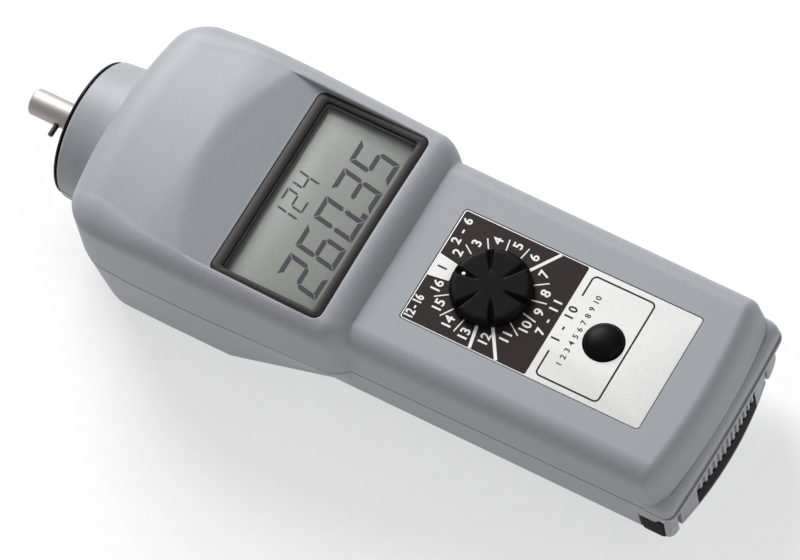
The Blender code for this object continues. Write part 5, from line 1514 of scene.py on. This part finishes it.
def make_cover():
    """Sliding cover: plate, bowed rear wall with its row of ribs, tongue, and the black thumb grip."""
    low = COVER[0].z
    top = low + COVER_THICKNESS
    half = COVER[1].y
    underside = [(2 * low - z, inset) for z, inset in rounded_edge(low, 0.5, 3)]
    plate = bowed_plate([(top, 0.0)] + underside, COVER_FROM_X, half, 0.0)
    wall_edges = [(low + 0.5, 0.0)] + rounded_edge(COVER[1].z, 0.35, 3)
    wall = bowed_plate(wall_edges, COVER_WALL_X, half - 0.1, 0.05)
    tongue = box_form((COVER[0].x, -TONGUE_HALF_WIDTH, -HANDLE_DEPTH + WALL + GAP),
                      (TONGUE_END_X, TONGUE_HALF_WIDTH, COVER_TONGUE_TOP), 0.3)
    riser = box_form((RISER_FROM_X, -TONGUE_HALF_WIDTH, low + 0.6),
                     (TONGUE_END_X, TONGUE_HALF_WIDTH, COVER_TONGUE_TOP - 0.1))
    groove = box_form((-0.6, -9.0, low - 1.0), (0.6, 9.0, low + 0.6), 0.2)
    grooves = copies(groove, GRIP_LINES, (GRIP_LINES_FROM_X, 0.0, 0.0), (GRIP_LINE_PITCH, 0.0, 0.0))
    notch = GRIP_HALF_WIDTH + GAP
    seat_x = cover_bow(notch) - GRIP_DEPTH
    pocket = box_form((seat_x, -notch, low + 0.7), (PAST_TAIL_X, notch, GRIP_TOP_Z + GAP))
    field_arc = [(cover_bow(y, RIB_FIELD_DEPTH), y) for y in steps_between(-notch, notch, 12)]
    field = slab(field_arc + [(PAST_TAIL_X, notch), (PAST_TAIL_X, -notch)], GRIP_TOP_Z, 0.0)
    form = worked(plate, ("UNION", [wall, riser, tongue]), ("DIFFERENCE", [grooves, pocket, field]))
    piece("sliding_cover", form, case_plastic, "battery_door", ["battery_cover"])
    rib = box_form((COVER_BOW_RADIUS - 0.9, -RIB_HALF_WIDTH, GRIP_TOP_Z + 0.5),
                   (COVER_BOW_RADIUS, RIB_HALF_WIDTH, COVER[1].z - 0.3), 0.2)
    pitch = math.degrees(RIB_PITCH / COVER_BOW_RADIUS)
    bow_centre = (COVER_BOW_X - COVER_BOW_RADIUS, 0.0, 0.0)
    ribs = copies(rib, RIBS, bow_centre, (0, 0, 0), -pitch * (RIBS - 1) / 2, pitch)
    piece("cover_ribs", ribs, case_plastic, "battery_door")
    grip_low = GRIP[0].z
    grip_edges = [(grip_low, 0.3), (grip_low + 0.3, 0.0)] + rounded_edge(GRIP_TOP_Z, 0.4, 3)
    grip = bowed_plate(grip_edges, seat_x + GAP, GRIP_HALF_WIDTH, 0.1)
    piece("thumb_grip", grip, foot_rubber, "battery_door", ["cover_grip"])


def make_feet():
    """Rubber pads let into the two lower rear corners, almost flush with them."""
    for side, label in ((1, "left"), (-1, "right")):
        form = rear_corner(FOOT_REACH, LEFT_FOOT[0].y, FOOT_TOP_Z, FOOT_PROUD, 0.8, side)
        piece(label + "_foot", form, foot_rubber, "casing", [label + "_rear_foot"])


def make_screws():
    """Pan-head screws with a socket in the head and a pointed end."""
    for index, at in enumerate(SCREW_PLACES):
        low, high = span(f"case_screw_{index + 1}")
        head = (high.x - low.x) / 2
        base = low.z
        neck = base + SCREW_HEAD_HEIGHT
        profile = [(base + 1.2, 0.0), (base + 1.2, 0.8), (base + 0.1, 0.85), (base, 1.0),
                   (base, head - 0.35), (base + 0.12, head - 0.1), (base + 0.4, head), (neck, head),
                   (neck, SCREW_RADIUS), (high.z - 1.2, SCREW_RADIUS), (high.z, 0.0)]
        piece(f"screw_{index + 1}", turned(profile, (*at, 0.0), "Z", 32), plain_steel, "casing",
              [f"case_screw_{index + 1}"])


CARRIED_OVER = (
    (turned_aluminium, ("bearing_sleeve", "switch_spindle")),
    (plain_steel, ("front_bearing_ring", "rear_bearing_ring", "front_bearing_hub", "rear_bearing_hub",
                   "retaining_ring", "contact_bridge", "left_contact_plate", "right_contact_plate",
                   "left_spring", "right_spring")),
    (turned_brass, ("disc_hub",)),
    (part_plastic, ("encoder_disc", "processor", "slot_sensor", "rotary_switch", "memory_switch",
                    "measure_switch")),
    (foot_rubber, ("front_contact_strip", "rear_contact_strip")),
    (board_green, ("main_board", "sensor_board")),
    (tray_plastic, ("board_link", "battery_tray")),
    (battery_wrap, ("left_cell", "right_cell")),
)


def finish_inner_parts():
    """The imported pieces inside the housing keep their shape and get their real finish."""
    for finish, nodes in CARRIED_OVER:
        for node in nodes:
            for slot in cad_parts[node].material_slots:
                slot.material = finish


# Floor, light and camera

CAMERA_RIGHT = Vector((0.8580, 0.4997, -0.1185))
CAMERA_UP = Vector((-0.4041, 0.7992, 0.4450))
CAMERA_BACK = Vector((0.3171, -0.3339, 0.8877))
CAMERA_PLACE = Vector((0.3986, -0.4143, 1.1206))
CAMERA_LENS = 249.3

# The floor is a lit white table: its own light keeps the tool's shadow faint
FLOOR_GLOW = 0.56
FLOOR_HALF_LENGTH = 3.0
WORLD_LIGHT = 0.28

# Soft lights: name, place, what they face, diameter and power
LIGHTS = (
    ("key_light", (-0.78, 0.70, 0.78), (0.03, 0.0, 0.02), 0.8, 21.0),
    ("fill_light", (-0.30, -1.00, 0.80), (0.0, 0.0, 0.02), 1.0, 1.0),
    ("tail_light", (0.95, 0.0, 0.90), (0.06, 0.0, 0.01), 1.0, 3.2),
)


def make_stage():
    floor_bm = bmesh.new()
    bmesh.ops.create_grid(floor_bm, x_segments=4, y_segments=4, size=FLOOR_HALF_LENGTH)
    mesh = mesh_of(floor_bm)
    finish, tree, shader = recipe("pale_floor", (0.40, 0.40, 0.40), 0.9)
    shader.inputs["Emission Color"].default_value = (1.0, 1.0, 1.0, 1.0)
    shader.inputs["Emission Strength"].default_value = FLOOR_GLOW
    paper = noise(tree, 3.0, detail=2.0)
    tone = toned(tree, paper, [(0.3, (0.39, 0.39, 0.39)), (0.7, (0.41, 0.41, 0.41))])
    tree.links.new(tone, shader.inputs["Base Color"])
    mesh.materials.append(finish)
    linked("floor", mesh)


def make_light(name, place, target, size, power):
    light = bpy.data.lights.new(name, "AREA")
    light.shape = "DISK"
    light.size = size
    light.energy = power
    item = linked(name, light)
    item.location = place
    item.rotation_euler = (Vector(target) - Vector(place)).to_track_quat("-Z", "Y").to_euler()


def make_studio():
    world = bpy.data.worlds.new("studio")
    world.use_nodes = True
    background = world.node_tree.nodes["Background"]
    background.inputs["Color"].default_value = (1.0, 1.0, 1.0, 1.0)
    background.inputs["Strength"].default_value = WORLD_LIGHT
    bpy.context.scene.world = world
    bpy.context.scene.view_settings.view_transform = "Standard"
    for light in LIGHTS:
        make_light(*light)


def make_camera():
    data = bpy.data.cameras.new("photo_view")
    data.lens = CAMERA_LENS
    data.sensor_width = 36.0
    camera = linked("photo_view", data)
    turn = Matrix((CAMERA_RIGHT, CAMERA_UP, CAMERA_BACK)).transposed()
    camera.matrix_world = Matrix.Translation(CAMERA_PLACE) @ turn.to_4x4()
    bpy.context.scene.camera = camera


make_camera()
for make in (make_top_shell, make_back_shell, make_nose, make_display, make_label, make_knob,
             make_memory_button, make_measure_key, make_cover, make_feet, make_screws):
    make()
finish_inner_parts()
make_stage()
make_studio()
